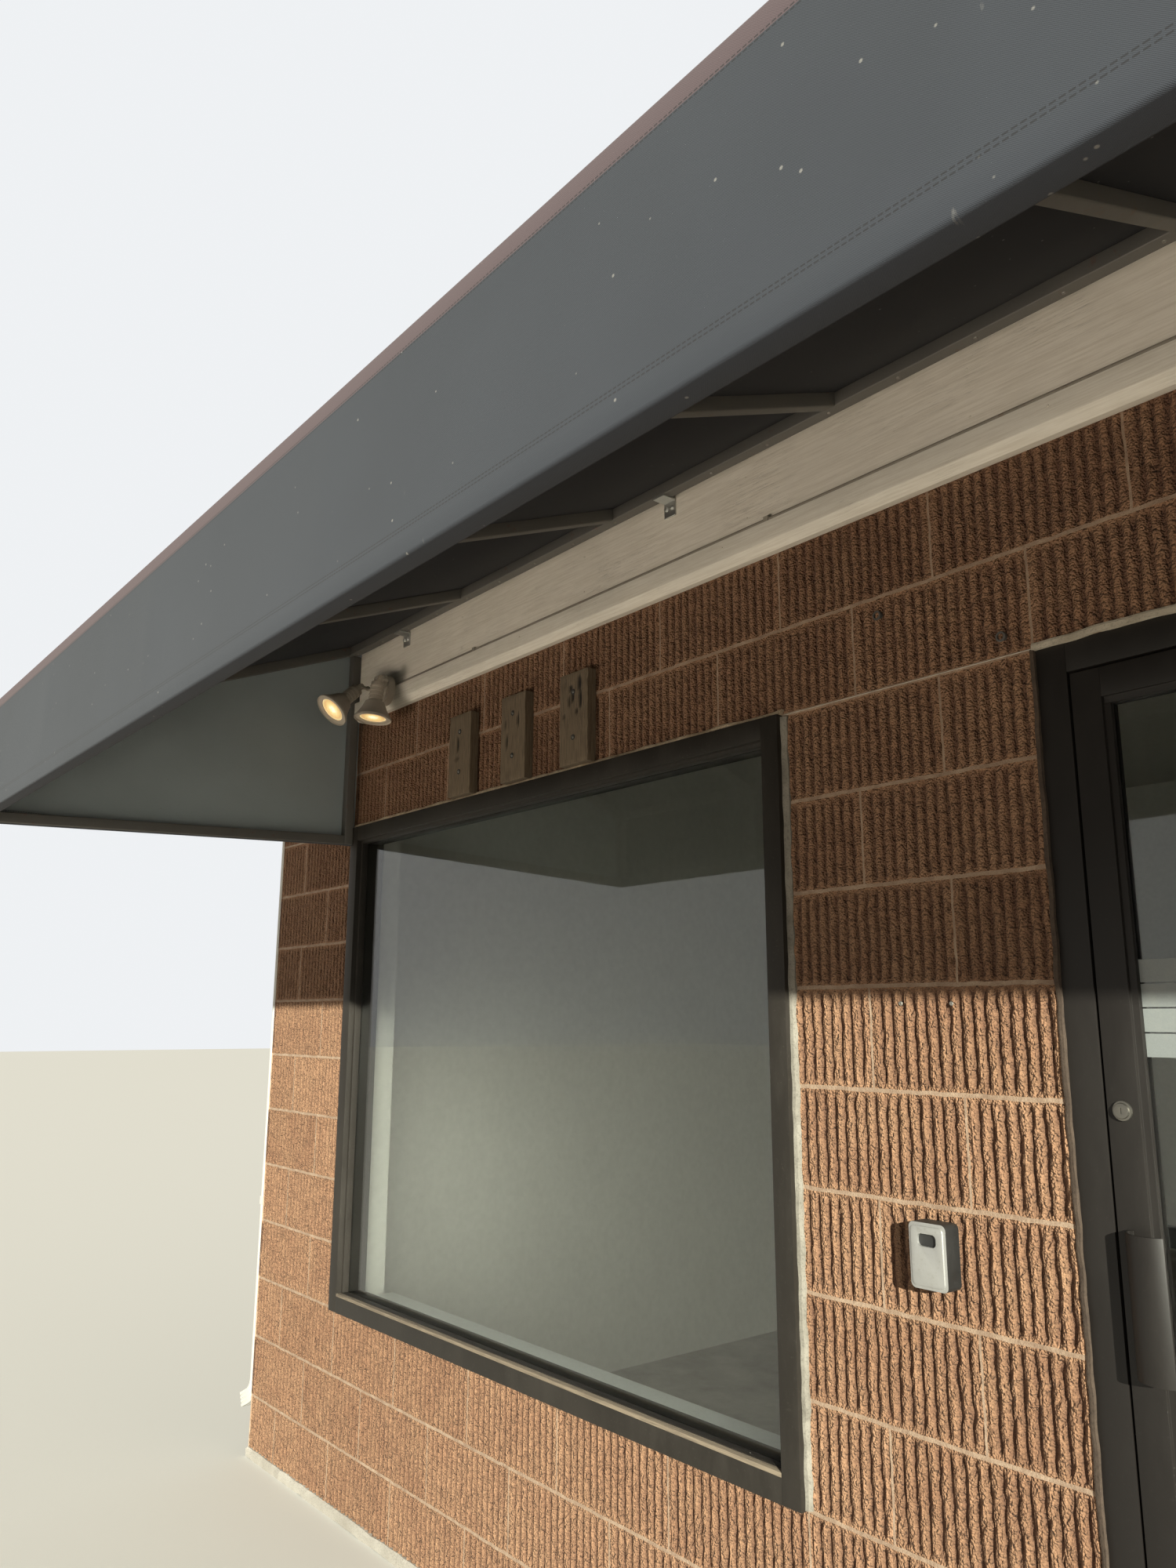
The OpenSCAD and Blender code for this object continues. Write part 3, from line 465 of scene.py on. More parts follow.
def wall_tree():
    tree, given, result = new_tree("ribbed block", [
        ("Course", "Float", COURSE), ("Half Block", "Float", HALF), ("Joint", "Float", JOINT),
        ("Rib Pitch", "Float", PITCH), ("Groove Depth", "Float", 0.0085), ("Roughness", "Float", 0.0075),
        ("Wander", "Float", 0.0046), ("Seed", "Int", 3), ("Block", "Material", None),
        ("Mortar", "Material", None)])
    m = sums(tree)
    course, half, joint = given["Course"], given["Half Block"], given["Joint"]

    def attribute(name, kind="FLOAT"):
        return put(tree, "GeometryNodeInputNamedAttribute", name, data_type=kind)

    position = put(tree, "GeometryNodeInputPosition")
    height = put(tree, "ShaderNodeSeparateXYZ", position, output=2)
    along, turned, edge = attribute("along"), attribute("turned"), attribute("edge")
    out = attribute("out", "FLOAT_VECTOR")
    row = m("FLOOR", m("DIVIDE", height, course))
    nearest_bed = m("MULTIPLY", m("ROUND", m("DIVIDE", height, course)), course)
    bed = m("LESS_THAN", m("ABSOLUTE", m("SUBTRACT", height, nearest_bed)), m("MULTIPLY", joint, 0.501))
    line = m("ROUND", m("DIVIDE", along, half))
    close = m("LESS_THAN", m("ABSOLUTE", m("SUBTRACT", along, m("MULTIPLY", line, half))),
              m("MULTIPLY", joint, 0.501))
    odd = m("FLOORED_MODULO", m("ADD", m("ADD", line, row), turned), 2.0)
    head = m("MULTIPLY", m("MULTIPLY", close, m("GREATER_THAN", odd, 0.5)), m("LESS_THAN", edge, 0.2))
    is_mortar = m("MAXIMUM", bed, head)
    start = m("FLOORED_MODULO", m("ADD", m("ADD", row, turned), 1.0), 2.0)
    number = m("FLOOR", m("DIVIDE", m("SUBTRACT", m("DIVIDE", along, half), start), 2.0))
    which = put(tree, "ShaderNodeCombineXYZ", number, row, given["Seed"])
    shade = put(tree, "ShaderNodeTexWhiteNoise", which)
    coarse = put(tree, "ShaderNodeTexNoise", position, 34.0, 3.0, 0.6)
    fine = put(tree, "ShaderNodeTexNoise", position, 95.0, 2.0, 0.6)
    side = m("MULTIPLY", m("SUBTRACT", m("ADD", m("MULTIPLY", coarse, 1.5), fine), 1.25),
             m("MULTIPLY", given["Wander"], 1.9))
    groove = m("MULTIPLY", m("ROUND", m("DIVIDE", along, given["Rib Pitch"])), given["Rib Pitch"])
    away = m("ABSOLUTE", m("SUBTRACT", m("ADD", along, side), groove))
    wall_side = put(tree, "ShaderNodeMapRange", away, 0.0024, 0.0062, 0.68, 0.0)
    shoulder = put(tree, "ShaderNodeMapRange", away, 0.0040, 0.0127, 0.32, 0.0)
    depth = m("MULTIPLY", m("ADD", wall_side, shoulder), given["Groove Depth"])
    both = m("ADD", m("MULTIPLY", coarse, 0.45), m("MULTIPLY", fine, 0.55))
    rough = m("MULTIPLY", m("SUBTRACT", both, 0.40), given["Roughness"])
    block_in = m("ADD", depth, m("MULTIPLY", rough, 1.6))
    mortar_in = m("ADD", 0.0030, m("MULTIPLY", rough, 0.45))
    keep = m("SUBTRACT", 1.0, edge)
    sink = m("MULTIPLY", m("ADD", m("MULTIPLY", block_in, m("SUBTRACT", 1.0, is_mortar)),
                           m("MULTIPLY", mortar_in, is_mortar)), keep)
    move = put(tree, "ShaderNodeVectorMath", out, m("MULTIPLY", sink, -1.0), operation="SCALE")
    sway = put(tree, "ShaderNodeTexNoise", position, 28.0, 2.0, 0.5, output=1)
    sway = put(tree, "ShaderNodeVectorMath", sway, (0.5, 0.5, 0.5), operation="SUBTRACT")
    flat = put(tree, "ShaderNodeVectorMath", put(tree, "ShaderNodeVectorMath", out, operation="ABSOLUTE"),
               (-1, -1, -1), (1, 1, 1), operation="MULTIPLY_ADD")
    sway = put(tree, "ShaderNodeVectorMath", sway, flat, operation="MULTIPLY")
    outer = put(tree, "ShaderNodeVectorMath", out, operation="LENGTH", output=0)
    reach = m("MULTIPLY", m("MULTIPLY", given["Wander"], m("MULTIPLY", keep, 1.5)), outer)
    sway = put(tree, "ShaderNodeVectorMath", sway, reach, operation="SCALE")
    move = put(tree, "ShaderNodeVectorMath", move, sway, operation="ADD")
    # How deep each point lies in its groove is kept for the painted shade in the block finish
    marked = put(tree, "GeometryNodeStoreNamedAttribute", given["Geometry"], None, "sunk",
                 m("MULTIPLY", m("DIVIDE", depth, given["Groove Depth"]), m("SUBTRACT", 1.0, is_mortar)),
                 data_type="FLOAT", domain="POINT")
    marked = put(tree, "GeometryNodeStoreNamedAttribute", marked, None, "shade", shade,
                 data_type="FLOAT", domain="FACE")
    moved = put(tree, "GeometryNodeSetPosition", marked, None, None, move)
    single = put(tree, "GeometryNodeRealizeInstances", moved)
    ribbed = attribute("ribbed")
    dressed = put(tree, "GeometryNodeSetMaterial", single, m("GREATER_THAN", ribbed, 0.5), given["Block"])
    jointed = m("MULTIPLY", is_mortar, m("GREATER_THAN", ribbed, 0.5))
    dressed = put(tree, "GeometryNodeSetMaterial", dressed, m("GREATER_THAN", jointed, 0.5), given["Mortar"])
    tree.links.new(dressed, result)
    return tree


ribbed_wall = wall_tree()
print("wall tree:", len(ribbed_wall.nodes), "nodes")

# %% [markdown]
# Each run of wall between the openings is grown by itself, in the lengths of the CAD nodes that it stands
# for. Where two runs meet in the plane of the wall, both use the same distances, so ribs and joints carry on
# across. The courses over the fascia and the walls at the sides and back get coarser blanks.

# %% Walls
HEAD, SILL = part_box("corner_piers")[1].z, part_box("window_aprons")[1].z
WINDOW_OUT, WINDOW_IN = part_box("window_aprons")[1].x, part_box("door_piers")[1].x
WALL = 0.194
INNER = FRONT + WALL


def grow_wall(name, low, high, ribbed, straight=lambda side, far, z: False, rise=RISE, groove=GROOVE):
    blank = wall_blank(name, low, high, ribbed, straight, rise, groove)
    wall = grow(name, blank, ribbed_wall, Block=block, Mortar=mortar)
    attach(wall, "building")
    return wall


def stand_for(node, *walls):
    for wall in walls:
        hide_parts(node)


def front_runs():
    left_pier = grow_wall("corner_pier_left", (-half_w, FRONT, 0), (-WINDOW_OUT, INNER, HEAD),
                          ("front", "left"), lambda s, far, z: s == "front" and (not far or z > SILL))
    right_pier = grow_wall("corner_pier_right", (WINDOW_OUT, FRONT, 0), (half_w, INNER, HEAD),
                           ("front", "right"), lambda s, far, z: s == "front" and (far or z > SILL))
    stand_for("corner_piers", left_pier, right_pier)
    aprons = [grow_wall("window_apron_" + n, (a, FRONT, 0), (b, INNER, SILL), ("front",))
              for n, a, b in (("left", -WINDOW_OUT, -WINDOW_IN), ("right", WINDOW_IN, WINDOW_OUT))]
    stand_for("window_aprons", *aprons)
    door_x = -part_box("door_piers")[0].x - 3 * HALF
    piers = [grow_wall("door_pier_" + n, (a, FRONT, 0), (b, INNER, HEAD), ("front",), edge)
             for n, a, b, edge in (
                 ("left", -WINDOW_IN, -door_x, lambda s, far, z: far or z > SILL),
                 ("right", door_x, WINDOW_IN, lambda s, far, z: not far or z > SILL))]
    stand_for("door_piers", *piers)
    behind_board = HEAD + 3 * COURSE
    head = grow_wall("head_wall", (-half_w, FRONT, HEAD), (half_w, INNER, behind_board),
                     ("front", "left", "right"), lambda s, far, z: s == "front")
    crown = grow_wall("crown_wall", (-half_w, FRONT, behind_board), (half_w, INNER, wall_top),
                      ("front", "left", "right"), lambda s, far, z: s == "front", 3, PLAIN_GROOVE)
    stand_for("front_head_wall", head, crown)


def other_runs():
    inner_x = half_w - WALL
    rear = back_y - WALL
    left = grow_wall("side_wall_left", (-half_w, INNER, 0), (-inner_x, rear, wall_top),
                     ("left",), rise=3, groove=PLAIN_GROOVE)
    right = grow_wall("side_wall_right", (inner_x, INNER, 0), (half_w, rear, wall_top),
                      ("right",), rise=3, groove=PLAIN_GROOVE)
    rear_wall = grow_wall("rear_wall", (-half_w, rear, 0), (half_w, back_y, wall_top),
                          ("back", "left", "right"), lambda s, far, z: s == "back", 2, PLAIN_GROOVE)
    stand_for("left_side_wall", left)
    stand_for("right_side_wall", right)
    stand_for("back_wall", rear_wall)


front_runs()
other_runs()

# %% [markdown]
# The lowest course stands on a strip of pale concrete that swells a little past the block. It is rough along
# its upper edge, where mortar has run down. The bar helper moves its points by noise vectors, which follow a
# seed, so the seed is set first.

# %% Footing strip
noise.seed_set(5)


def rough_bar(name, points, section, material, wobble=0.0, step=0.03, seed=1, closed=False):
    """A bar along points, in short rings that noise moves. section gives (side, up) pairs."""
    ring_at, bm = [], bmesh.new()
    points = [Vector(p) for p in points]
    ends = list(zip(points, points[1:] + points[:1])) if closed else list(zip(points, points[1:]))
    for k, (a, b) in enumerate(ends):
        n = max(1, round((b - a).length / step))
        ring_at += [a.lerp(b, i / n) for i in range(n)]
        if k == len(ends) - 1 and not closed:
            ring_at.append(b)
    rings = []
    for i, at in enumerate(ring_at):
        before = ring_at[i - 1] if i or closed else at
        after = ring_at[(i + 1) % len(ring_at)] if i + 1 < len(ring_at) or closed else at
        heading = (after - before).normalized()
        turn = abs((at - before).normalized().dot(heading)) if before != at else 1.0
        aside = heading.cross(Vector((0, 0, 1)))
        aside = aside.normalized() if aside.length > 0.1 else Vector((1, 0, 0))
        upward = aside.cross(heading)
        ring = []
        for s, u in section:
            spot = at + aside * (s / max(0.6, turn)) + upward * u
            jog = noise.noise_vector(spot * 23 + Vector((seed, 0, 0))) * wobble
            ring.append(bm.verts.new(spot + jog))
        rings.append(ring)
    last = rings[1:] + rings[:1] if closed else rings[1:]
    for a, b in zip(rings, last):
        for i in range(len(section)):
            j = (i + 1) % len(section)
            bm.faces.new((a[i], a[j], b[j], b[i]))
    if not closed:
        bm.faces.new(rings[0][::-1])
        bm.faces.new(rings[-1])
    bmesh.ops.recalc_face_normals(bm, faces=bm.faces)
    return finished(name, bm, material)


def finished(name, bm, *materials, smooth=None, body="building"):
    mesh = bpy.data.meshes.new(name)
    bm.to_mesh(mesh)
    bm.free()
    for material in materials:
        mesh.materials.append(material)
    if smooth:
        mesh.polygons.foreach_set("use_smooth", [True] * len(mesh.polygons))
        mesh.set_sharp_from_angle(angle=math.radians(smooth))
    obj = bpy.data.objects.new(name, mesh)
    bpy.context.scene.collection.objects.link(obj)
    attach(obj, body)
    return obj


def stone_finish(name, low, high, scale=5.0):
    material, tree, principled, place = new_material(name, 0.92)
    tone = ramp(tree, grain(tree, place, scale, 6, 0.65), (0.32, low), (0.72, high))
    specks = ramp(tree, grain(tree, place, 240, 2), (0.36, 1.0), (0.46, 0.0))
    tone = mixed(tree, sums(tree)("MULTIPLY", specks, 0.35), tone, tuple(v * 0.45 for v in low))
    tree.links.new(tone, principled.inputs["Base Color"])
    set_bump(tree, principled, grain(tree, place, 120, 5, 0.7), 0.6, 0.003)
    return material


concrete = stone_finish("pale_concrete", (0.33, 0.30, 0.26), (0.50, 0.47, 0.42))
swell = 0.007
outline = [(-half_w, FRONT, 0.0), (half_w, FRONT, 0.0), (half_w, back_y, 0.0), (-half_w, back_y, 0.0)]
section = [(-0.03, 0.0), (swell, 0.0), (swell, 0.022), (0.001, 0.030), (-0.03, 0.030)]
strip = rough_bar("footing_strip", outline, section, concrete, 0.0035, 0.04, closed=True)
print("strip:", len(strip.data.polygons), "faces")

# %% [markdown]
# ## Hard pieces
#
# The frames, tubes, boards and fittings keep the shapes that the CAD gives them. Sharp edges would look like
# paper, so each piece is copied with its edges broken by a millimetre or two, and the copy stands for it.

# %% Softened edges


def softened(name, material, width=0.001, segments=2, angle=38, parts=None):
    """A CAD piece's copy with broken edges and a finish; parts sorts faces to further finishes."""
    bm = bmesh.new()
    bm.from_mesh(nodes[name].data)
    bmesh.ops.remove_doubles(bm, verts=bm.verts, dist=1e-5)
    bmesh.ops.dissolve_limit(bm, angle_limit=math.radians(0.8), verts=bm.verts, edges=bm.edges)
    sharp = [e for e in bm.edges if len(e.link_faces) == 2 and e.calc_face_angle(0) > math.radians(angle)]
    if width:
        bmesh.ops.bevel(bm, geom=sharp, offset=width, segments=segments, affect="EDGES", profile=0.6,
                        clamp_overlap=True)
    materials = [material]
    for finish, wanted in parts or []:
        materials.append(finish)
        for face in bm.faces:
            if wanted(face.calc_center_median(), face.normal):
                face.material_index = len(materials) - 1
    copy = finished(name + "_made", bm, *materials, smooth=28, body=frame_body(name))
    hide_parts(name)
    return copy


def frame_body(name):
    return nodes[name].parent.name.split(":")[1]


def metal_finish(name, colour, roughness=0.45, metallic=0.0, dust=(0.30, 0.28, 0.25), dust_amount=0.25,
                 rust=0.0, streak=(1, 1, 1), scale=7.0, shine=0.5):
    material, tree, principled, place = new_material(name, roughness, metallic)
    principled.inputs["Specular IOR Level"].default_value = shine
    m = sums(tree)
    veil = ramp(tree, grain(tree, place, scale, 6, 0.7, streak), (0.45, 0.0), (0.85, 1.0))
    tone = mixed(tree, m("MULTIPLY", veil, dust_amount), colour, dust)
    fleck = ramp(tree, grain(tree, place, 160, 3), (0.62, 0.0), (0.70, 1.0))
    tone = mixed(tree, m("MULTIPLY", fleck, dust_amount * 0.6), tone, dust)
    if rust:
        spots = ramp(tree, grain(tree, place, 26, 6, 0.75), (0.60, 0.0), (0.66, 1.0))
        deep = ramp(tree, grain(tree, place, 90, 3), (0.3, (0.10, 0.035, 0.015)), (0.7, (0.26, 0.10, 0.04)))
        tone = mixed(tree, m("MULTIPLY", spots, rust), tone, deep)
    tree.links.new(tone, principled.inputs["Base Color"])
    tree.links.new(m("ADD", roughness, m("MULTIPLY", veil, 0.25)), principled.inputs["Roughness"])
    set_bump(tree, principled, grain(tree, place, 90, 4), 0.12, 0.0008)
    return material


bronze = metal_finish("dark_bronze", (0.020, 0.017, 0.014), 0.5, 0.0, (0.13, 0.115, 0.10), 0.2,
                      streak=(1, 1, 0.35), shine=0.3)
# Painted shade: the door's frame, leaf and pull take a darker copy of the window bronze, with less dust
door_bronze = metal_finish("door_bronze", (0.012, 0.010, 0.009), 0.5, 0.0, (0.10, 0.088, 0.078), 0.08,
                           streak=(1, 1, 0.35), shine=0.35)
tube_paint = metal_finish("tube_paint", (0.135, 0.130, 0.122), 0.55, 0.1, (0.22, 0.20, 0.17), 0.4, rust=0.35)
mill = metal_finish("worn_mill", (0.50, 0.50, 0.48), 0.38, 0.9, (0.30, 0.28, 0.25), 0.4)
steel = metal_finish("brushed_steel", (0.20, 0.19, 0.17), 0.4, 0.9, (0.20, 0.17, 0.12), 0.4, scale=60.0)
black = metal_finish("satin_black", (0.014, 0.014, 0.014), 0.5, 0.0, (0.10, 0.10, 0.10), 0.15)
grey_paint = metal_finish("grey_pivot_paint", (0.10, 0.095, 0.09), 0.5, 0.2, rust=0.15)
white_metal = metal_finish("white_gutter", (0.62, 0.61, 0.57), 0.45, 0.0, (0.42, 0.39, 0.33), 0.35,
                           streak=(1, 1, 0.2))
edge_paint = metal_finish("roof_edge_paint", (0.060, 0.050, 0.046), 0.5, 0.1, (0.20, 0.18, 0.16), 0.3)
lamp_paint = metal_finish("lamp_taupe", (0.48, 0.43, 0.36), 0.5, 0.0, (0.46, 0.42, 0.36), 0.35,
                          rust=0.1, scale=30.0)
pipe_paint = metal_finish("conduit_paint", (0.34, 0.31, 0.26), 0.55, 0.0, (0.20, 0.18, 0.15), 0.45,
                          rust=0.25, scale=20.0)
white_board = paint_finish("white_board", (0.74, 0.74, 0.70), 0.55, 0.2, (0.5, 0.48, 0.43), 4)

# A finish, the width of the broken edges, the steps in each, and the pieces that get them
DRESSING = [
    (bronze, 0.0012, 2, ("window_jambs", "window_rails")),
    (door_bronze, 0.0012, 2, ("door_jambs", "door_head", "door_stiles", "door_rails", "door_pull")),
    (tube_paint, 0.0035, 3, ("awning_rear_tube", "awning_front_tubes", "awning_struts", "awning_rafters",
                             "awning_end_rails")),
    (mill, 0.0012, 2, ("door_threshold",)), (mill, 0.0006, 1, ("awning_brackets",)),
    (grey_paint, 0.0008, 2, ("pivot_arms", "pivot_sleeves")), (steel, 0.0006, 2, ("door_lock",)),
    (black, 0.003, 3, ("push_bar",)), (white_metal, 0.0008, 1, ("roof_gutter", "downspout")),
    (edge_paint, 0.0008, 1, ("roof_edge",)), (pipe_paint, 0.0006, 1, ("fascia_conduit",)),
    (lamp_paint, 0.001, 2, ("lamp_box",)), (lamp_paint, 0.0006, 1, ("left_lamp_bell", "right_lamp_bell")),
    (white_board, 0.002, 2, ("inner_boards",)), (concrete, 0.0, 2, ("floor_slab",))]
for finish, width, segments, pieces in DRESSING:
    for piece in pieces:
        softened(piece, finish, width, segments)

# %% [markdown]
# Clear glass needs no more than its real values. The lenses glow warm, since the lamps are on. The glow fades
# away from the middle, as it does round a bulb, and the edge catches it again.

# %% Glass and lenses


def glass_finish(name, colour, roughness):
    material, tree, principled, place = new_material(name, roughness)
    principled.inputs["Base Color"].default_value = (*colour, 1)
    principled.inputs["Transmission Weight"].default_value = 1.0
    principled.inputs["IOR"].default_value = 1.5
    return material


def dress(material, *names):
    for name in names:
        nodes[name].data.materials.clear()
        nodes[name].data.materials.append(material)


def lens_finish(name, middle):
    material, tree, principled, place = new_material(name, 0.25)
    principled.inputs["Base Color"].default_value = (0.9, 0.72, 0.42, 1)
    away = put(tree, "ShaderNodeVectorMath", place, tuple(middle), operation="DISTANCE", output=0)
    m = sums(tree)
    near = put(tree, "ShaderNodeMapRange", away, 0.008, 0.047, 1.0, 0.0)
    bumps = put(tree, "ShaderNodeTexVoronoi", place, 150.0)
    rim = put(tree, "ShaderNodeMapRange", away, 0.037, 0.042, 0.0, 0.6)
    bright = m("MAXIMUM", m("SUBTRACT", near, m("MULTIPLY", bumps, 0.5)), rim)
    glow = ramp(tree, bright, (0.0, (0.60, 0.34, 0.10)), (0.45, (0.90, 0.64, 0.27)), (0.8, (1.0, 0.93, 0.66)))
    tree.links.new(glow, principled.inputs["Emission Color"])
    tree.links.new(m("ADD", 0.5, m("MULTIPLY", near, 0.55)), principled.inputs["Emission Strength"])
    set_bump(tree, principled, bumps, 0.5, 0.002)
    return material


def middle_of(name):
    low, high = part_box(name)
    return (low + high) / 2


window_clear = glass_finish("window_clear", (0.93, 0.965, 0.955), 0.0)
dress(window_clear, "window_glass", "door_glass")
for lens in ("left_lamp_lens", "right_lamp_lens"):
    dress(lens_finish(lens + "_glow", middle_of(lens)), lens)
    print(lens, "at", [round(v, 3) for v in middle_of(lens)])

# %% [markdown]
# ## Timber
#
# The fascia is painted and has cracked along its grain. The ledges on the windows' bottom bars have lost
# their finish and gone grey and tan, and the three blocks over the left window are bare weathered offcuts
# with torn knots and two screws each.

# %% Timber finishes


def board_finish(name, colour, dark, roughness=0.75, along=(0.25, 6, 6), crack=0.5, scale=6.0):
    material, tree, principled, place = new_material(name, roughness)
    m = sums(tree)
    fibre = grain(tree, place, scale * 6, 6, 0.65, along)
    tone = mixed(tree, ramp(tree, fibre, (0.40, 0.0), (0.66, 0.75)), colour, dark)
    stain = ramp(tree, grain(tree, place, 2.4, 5, 0.7), (0.40, 0.0), (0.75, 0.5))
    tone = mixed(tree, stain, tone, tuple(v * 0.72 for v in colour))
    long = tuple(v * (0.4 if v < 1 else 1) for v in along)
    cracks = ramp(tree, grain(tree, place, scale * 9, 3, 0.5, long), (0.485, 0.0), (0.497, 1.0), (0.509, 0.0))
    patch = ramp(tree, grain(tree, place, 5.0, 2), (0.52, 0.0), (0.62, 1.0))
    cracks = m("MULTIPLY", cracks, m("MULTIPLY", patch, crack))
    tone = mixed(tree, cracks, tone, tuple(v * 0.35 for v in dark))
    tone = mixed(tree, read(tree, "torn"), tone, tuple(v * 0.25 for v in dark))
    tree.links.new(tone, principled.inputs["Base Color"])
    set_bump(tree, principled, m("SUBTRACT", m("MULTIPLY", fibre, 0.35), cracks), 0.45, 0.0015)
    return material


fascia_paint = board_finish("fascia_paint", (0.84, 0.80, 0.72), (0.66, 0.61, 0.52), 0.7, crack=0.6)
batten_paint = board_finish("batten_paint", (0.88, 0.85, 0.77), (0.70, 0.65, 0.56), 0.6, crack=0.4)
ledge_wood = board_finish("ledge_wood", (0.25, 0.20, 0.145), (0.085, 0.066, 0.050), 0.85, crack=1.0, scale=9)
old_wood = board_finish("old_wood", (0.20, 0.152, 0.100), (0.040, 0.026, 0.018), 0.85, (6, 6, 0.25), 1.0, 12)
# Painted shade: the board's top face takes the dark roof-edge finish in place of its white paint
softened("fascia_board", fascia_paint, 0.0015, parts=[(edge_paint, lambda c, n: n.z > 0.5)])
softened("fascia_batten", batten_paint, 0.0015)
softened("window_ledges", ledge_wood, 0.001)

# %% [markdown]
# ## Awning cloth
#
# The cover is one long sheet. It starts on the rear tube, runs down over the rafters, folds over the front
# tube, drops to the hem tube and wraps round it. Between its supports it hangs a little, so each free point
# settles to the mean of its neighbours plus a small load until nothing moves. Points on a tube stay where
# they are. Each end is a panel of its own, sewn to the cover along a welt.

# %% Cloth helpers
# How far the cloth's middle lies off a tube, and how thick the cloth is
REST = 0.0007
THIN = 0.0011


def solid_middles(name, axis):
    """Middles of a CAD node's separate solids along one axis."""
    bm = bmesh.new()
    bm.from_mesh(nodes[name].data)
    bmesh.ops.remove_doubles(bm, verts=bm.verts, dist=1e-5)
    found, left = [], set(bm.verts)
    while left:
        stack, part = [left.pop()], []
        while stack:
            v = stack.pop()
            part.append(v.co[axis])
            for e in v.link_edges:
                w = e.other_vert(v)
                if w in left:
                    left.remove(w)
                    stack.append(w)
        found.append((min(part) + max(part)) / 2)
    bm.free()
    return sorted(found)


def settle(free, load, rounds=1500):
    """Depth of each grid point once a loaded sheet has come to rest; points that aren't free stay at 0."""
    depth = np.zeros(free.shape)
    for _ in range(rounds):
        spread = np.pad(depth, 1, mode="edge")
        mean = (spread[:-2, 1:-1] + spread[2:, 1:-1] + spread[1:-1, :-2] + spread[1:-1, 2:]) / 4
        depth = np.where(free, mean + load, 0.0)
    return depth


def even(low, high, step):
    n = max(1, round((high - low) / step))
    return [low + (high - low) * i / n for i in range(n + 1)]


def cloth_sheet(name, spots, uv, materials, away):
    """A thin closed sheet from a grid of points. away is each point's way out, to give it its thickness."""
    rows, columns = spots.shape[:2]
    bm = bmesh.new()
    layer = bm.loops.layers.uv.new("flat")
    sides = []
    for lift in (THIN / 2, -THIN / 2):
        sides.append([[bm.verts.new(spots[i, j] + away[i, j] * lift) for j in range(columns)]
                      for i in range(rows)])
    outer, inner = sides
    for i in range(rows - 1):
        for j in range(columns - 1):
            ring = [(i, j), (i + 1, j), (i + 1, j + 1), (i, j + 1)]
            for k, (side, order) in enumerate(((outer, ring), (inner, ring[::-1]))):
                face = bm.faces.new([side[a][b] for a, b in order])
                face.material_index = k
                for loop, (a, b) in zip(face.loops, order):
                    loop[layer].uv = uv[a, b]
    edge = [(i, 0) for i in range(rows)] + [(rows - 1, j) for j in range(1, columns)]
    edge += [(i, columns - 1) for i in range(rows - 2, -1, -1)] + [(0, j) for j in range(columns - 2, 0, -1)]
    for (a, b), (c, d) in zip(edge, edge[1:] + edge[:1]):
        face = bm.faces.new((inner[a][b], inner[c][d], outer[c][d], outer[a][b]))
        for loop, spot in zip(face.loops, ((a, b), (c, d), (c, d), (a, b))):
            loop[layer].uv = uv[spot]
    bm.normal_update()
    if sum(v.normal.dot(Vector(away[i, j])) for i, row in enumerate(outer) for j, v in enumerate(row)) < 0:
        bmesh.ops.reverse_faces(bm, faces=bm.faces)
    return finished(name, bm, *materials, smooth=50)


def welt(name, points, radius, material):
    section = [(radius * math.cos(a), radius * math.sin(a)) for a in np.linspace(0, 2 * math.pi, 9)[:-1]]
    return rough_bar(name, points, section, material, 0.0004, 0.04)


def canvas(name, colour, band=None, stitches=()):
    """Woven cloth: threads, scuffs, a faded band and rows of stitches, all in the sheet's flat metres."""
    material, tree, principled, place = new_material(name, 0.88)
    m = sums(tree)
    principled.inputs["Sheen Weight"].default_value = 0.04
    principled.inputs["Sheen Roughness"].default_value = 0.6
    principled.inputs["Specular IOR Level"].default_value = 0.25
    flat = put(tree, "ShaderNodeUVMap", uv_map="flat")
    across = put(tree, "ShaderNodeSeparateXYZ", flat, output=0)
    down = put(tree, "ShaderNodeSeparateXYZ", flat, output=1)
    threads = m("MULTIPLY", m("SINE", m("MULTIPLY", across, 2 * math.pi / 0.0016)),
                m("SINE", m("MULTIPLY", down, 2 * math.pi / 0.0016)))
    slub = grain(tree, flat, 60, 3, 0.6, (1, 14, 1))
    cloud = ramp(tree, grain(tree, flat, 2.2, 5, 0.6), (0.30, 0.0), (0.75, 1.0))
    tone = mixed(tree, m("MULTIPLY", cloud, 0.45), colour, tuple(v * 1.35 for v in colour))
    tone = mixed(tree, m("MULTIPLY", slub, 0.35), tone, tuple(v * 0.75 for v in colour))
    specks = ramp(tree, put(tree, "ShaderNodeTexVoronoi", flat, 26.0), (0.035, 1.0), (0.06, 0.0))
    scuffs = ramp(tree, grain(tree, flat, 26, 4, 0.7, (2.2, 0.5, 1)), (0.70, 0.0), (0.78, 1.0))
    chalk = m("MULTIPLY", m("MAXIMUM", specks, m("MULTIPLY", scuffs, 0.5)), 0.45)
    tone = mixed(tree, chalk, tone, (0.34, 0.33, 0.31))
    if band:
        inside = m("MULTIPLY", m("GREATER_THAN", down, band[0]), m("LESS_THAN", down, band[1]))
        tone = mixed(tree, inside, tone, (0.085, 0.062, 0.070))
    for at in stitches:
        row = m("LESS_THAN", m("ABSOLUTE", m("SUBTRACT", down, at)), 0.0009)
        dash = m("LESS_THAN", m("FRACT", m("DIVIDE", across, 0.007)), 0.72)
        tone = mixed(tree, m("MULTIPLY", m("MULTIPLY", row, dash), 0.75), tone, (0.015, 0.015, 0.018))
    tree.links.new(tone, principled.inputs["Base Color"])
    set_bump(tree, principled, m("ADD", m("MULTIPLY", threads, 0.5), m("MULTIPLY", slub, 1.2)), 0.35, 0.0006)
    return material


print("the cloth's middle lies", round(REST * 1000, 1), "mm off its tubes")

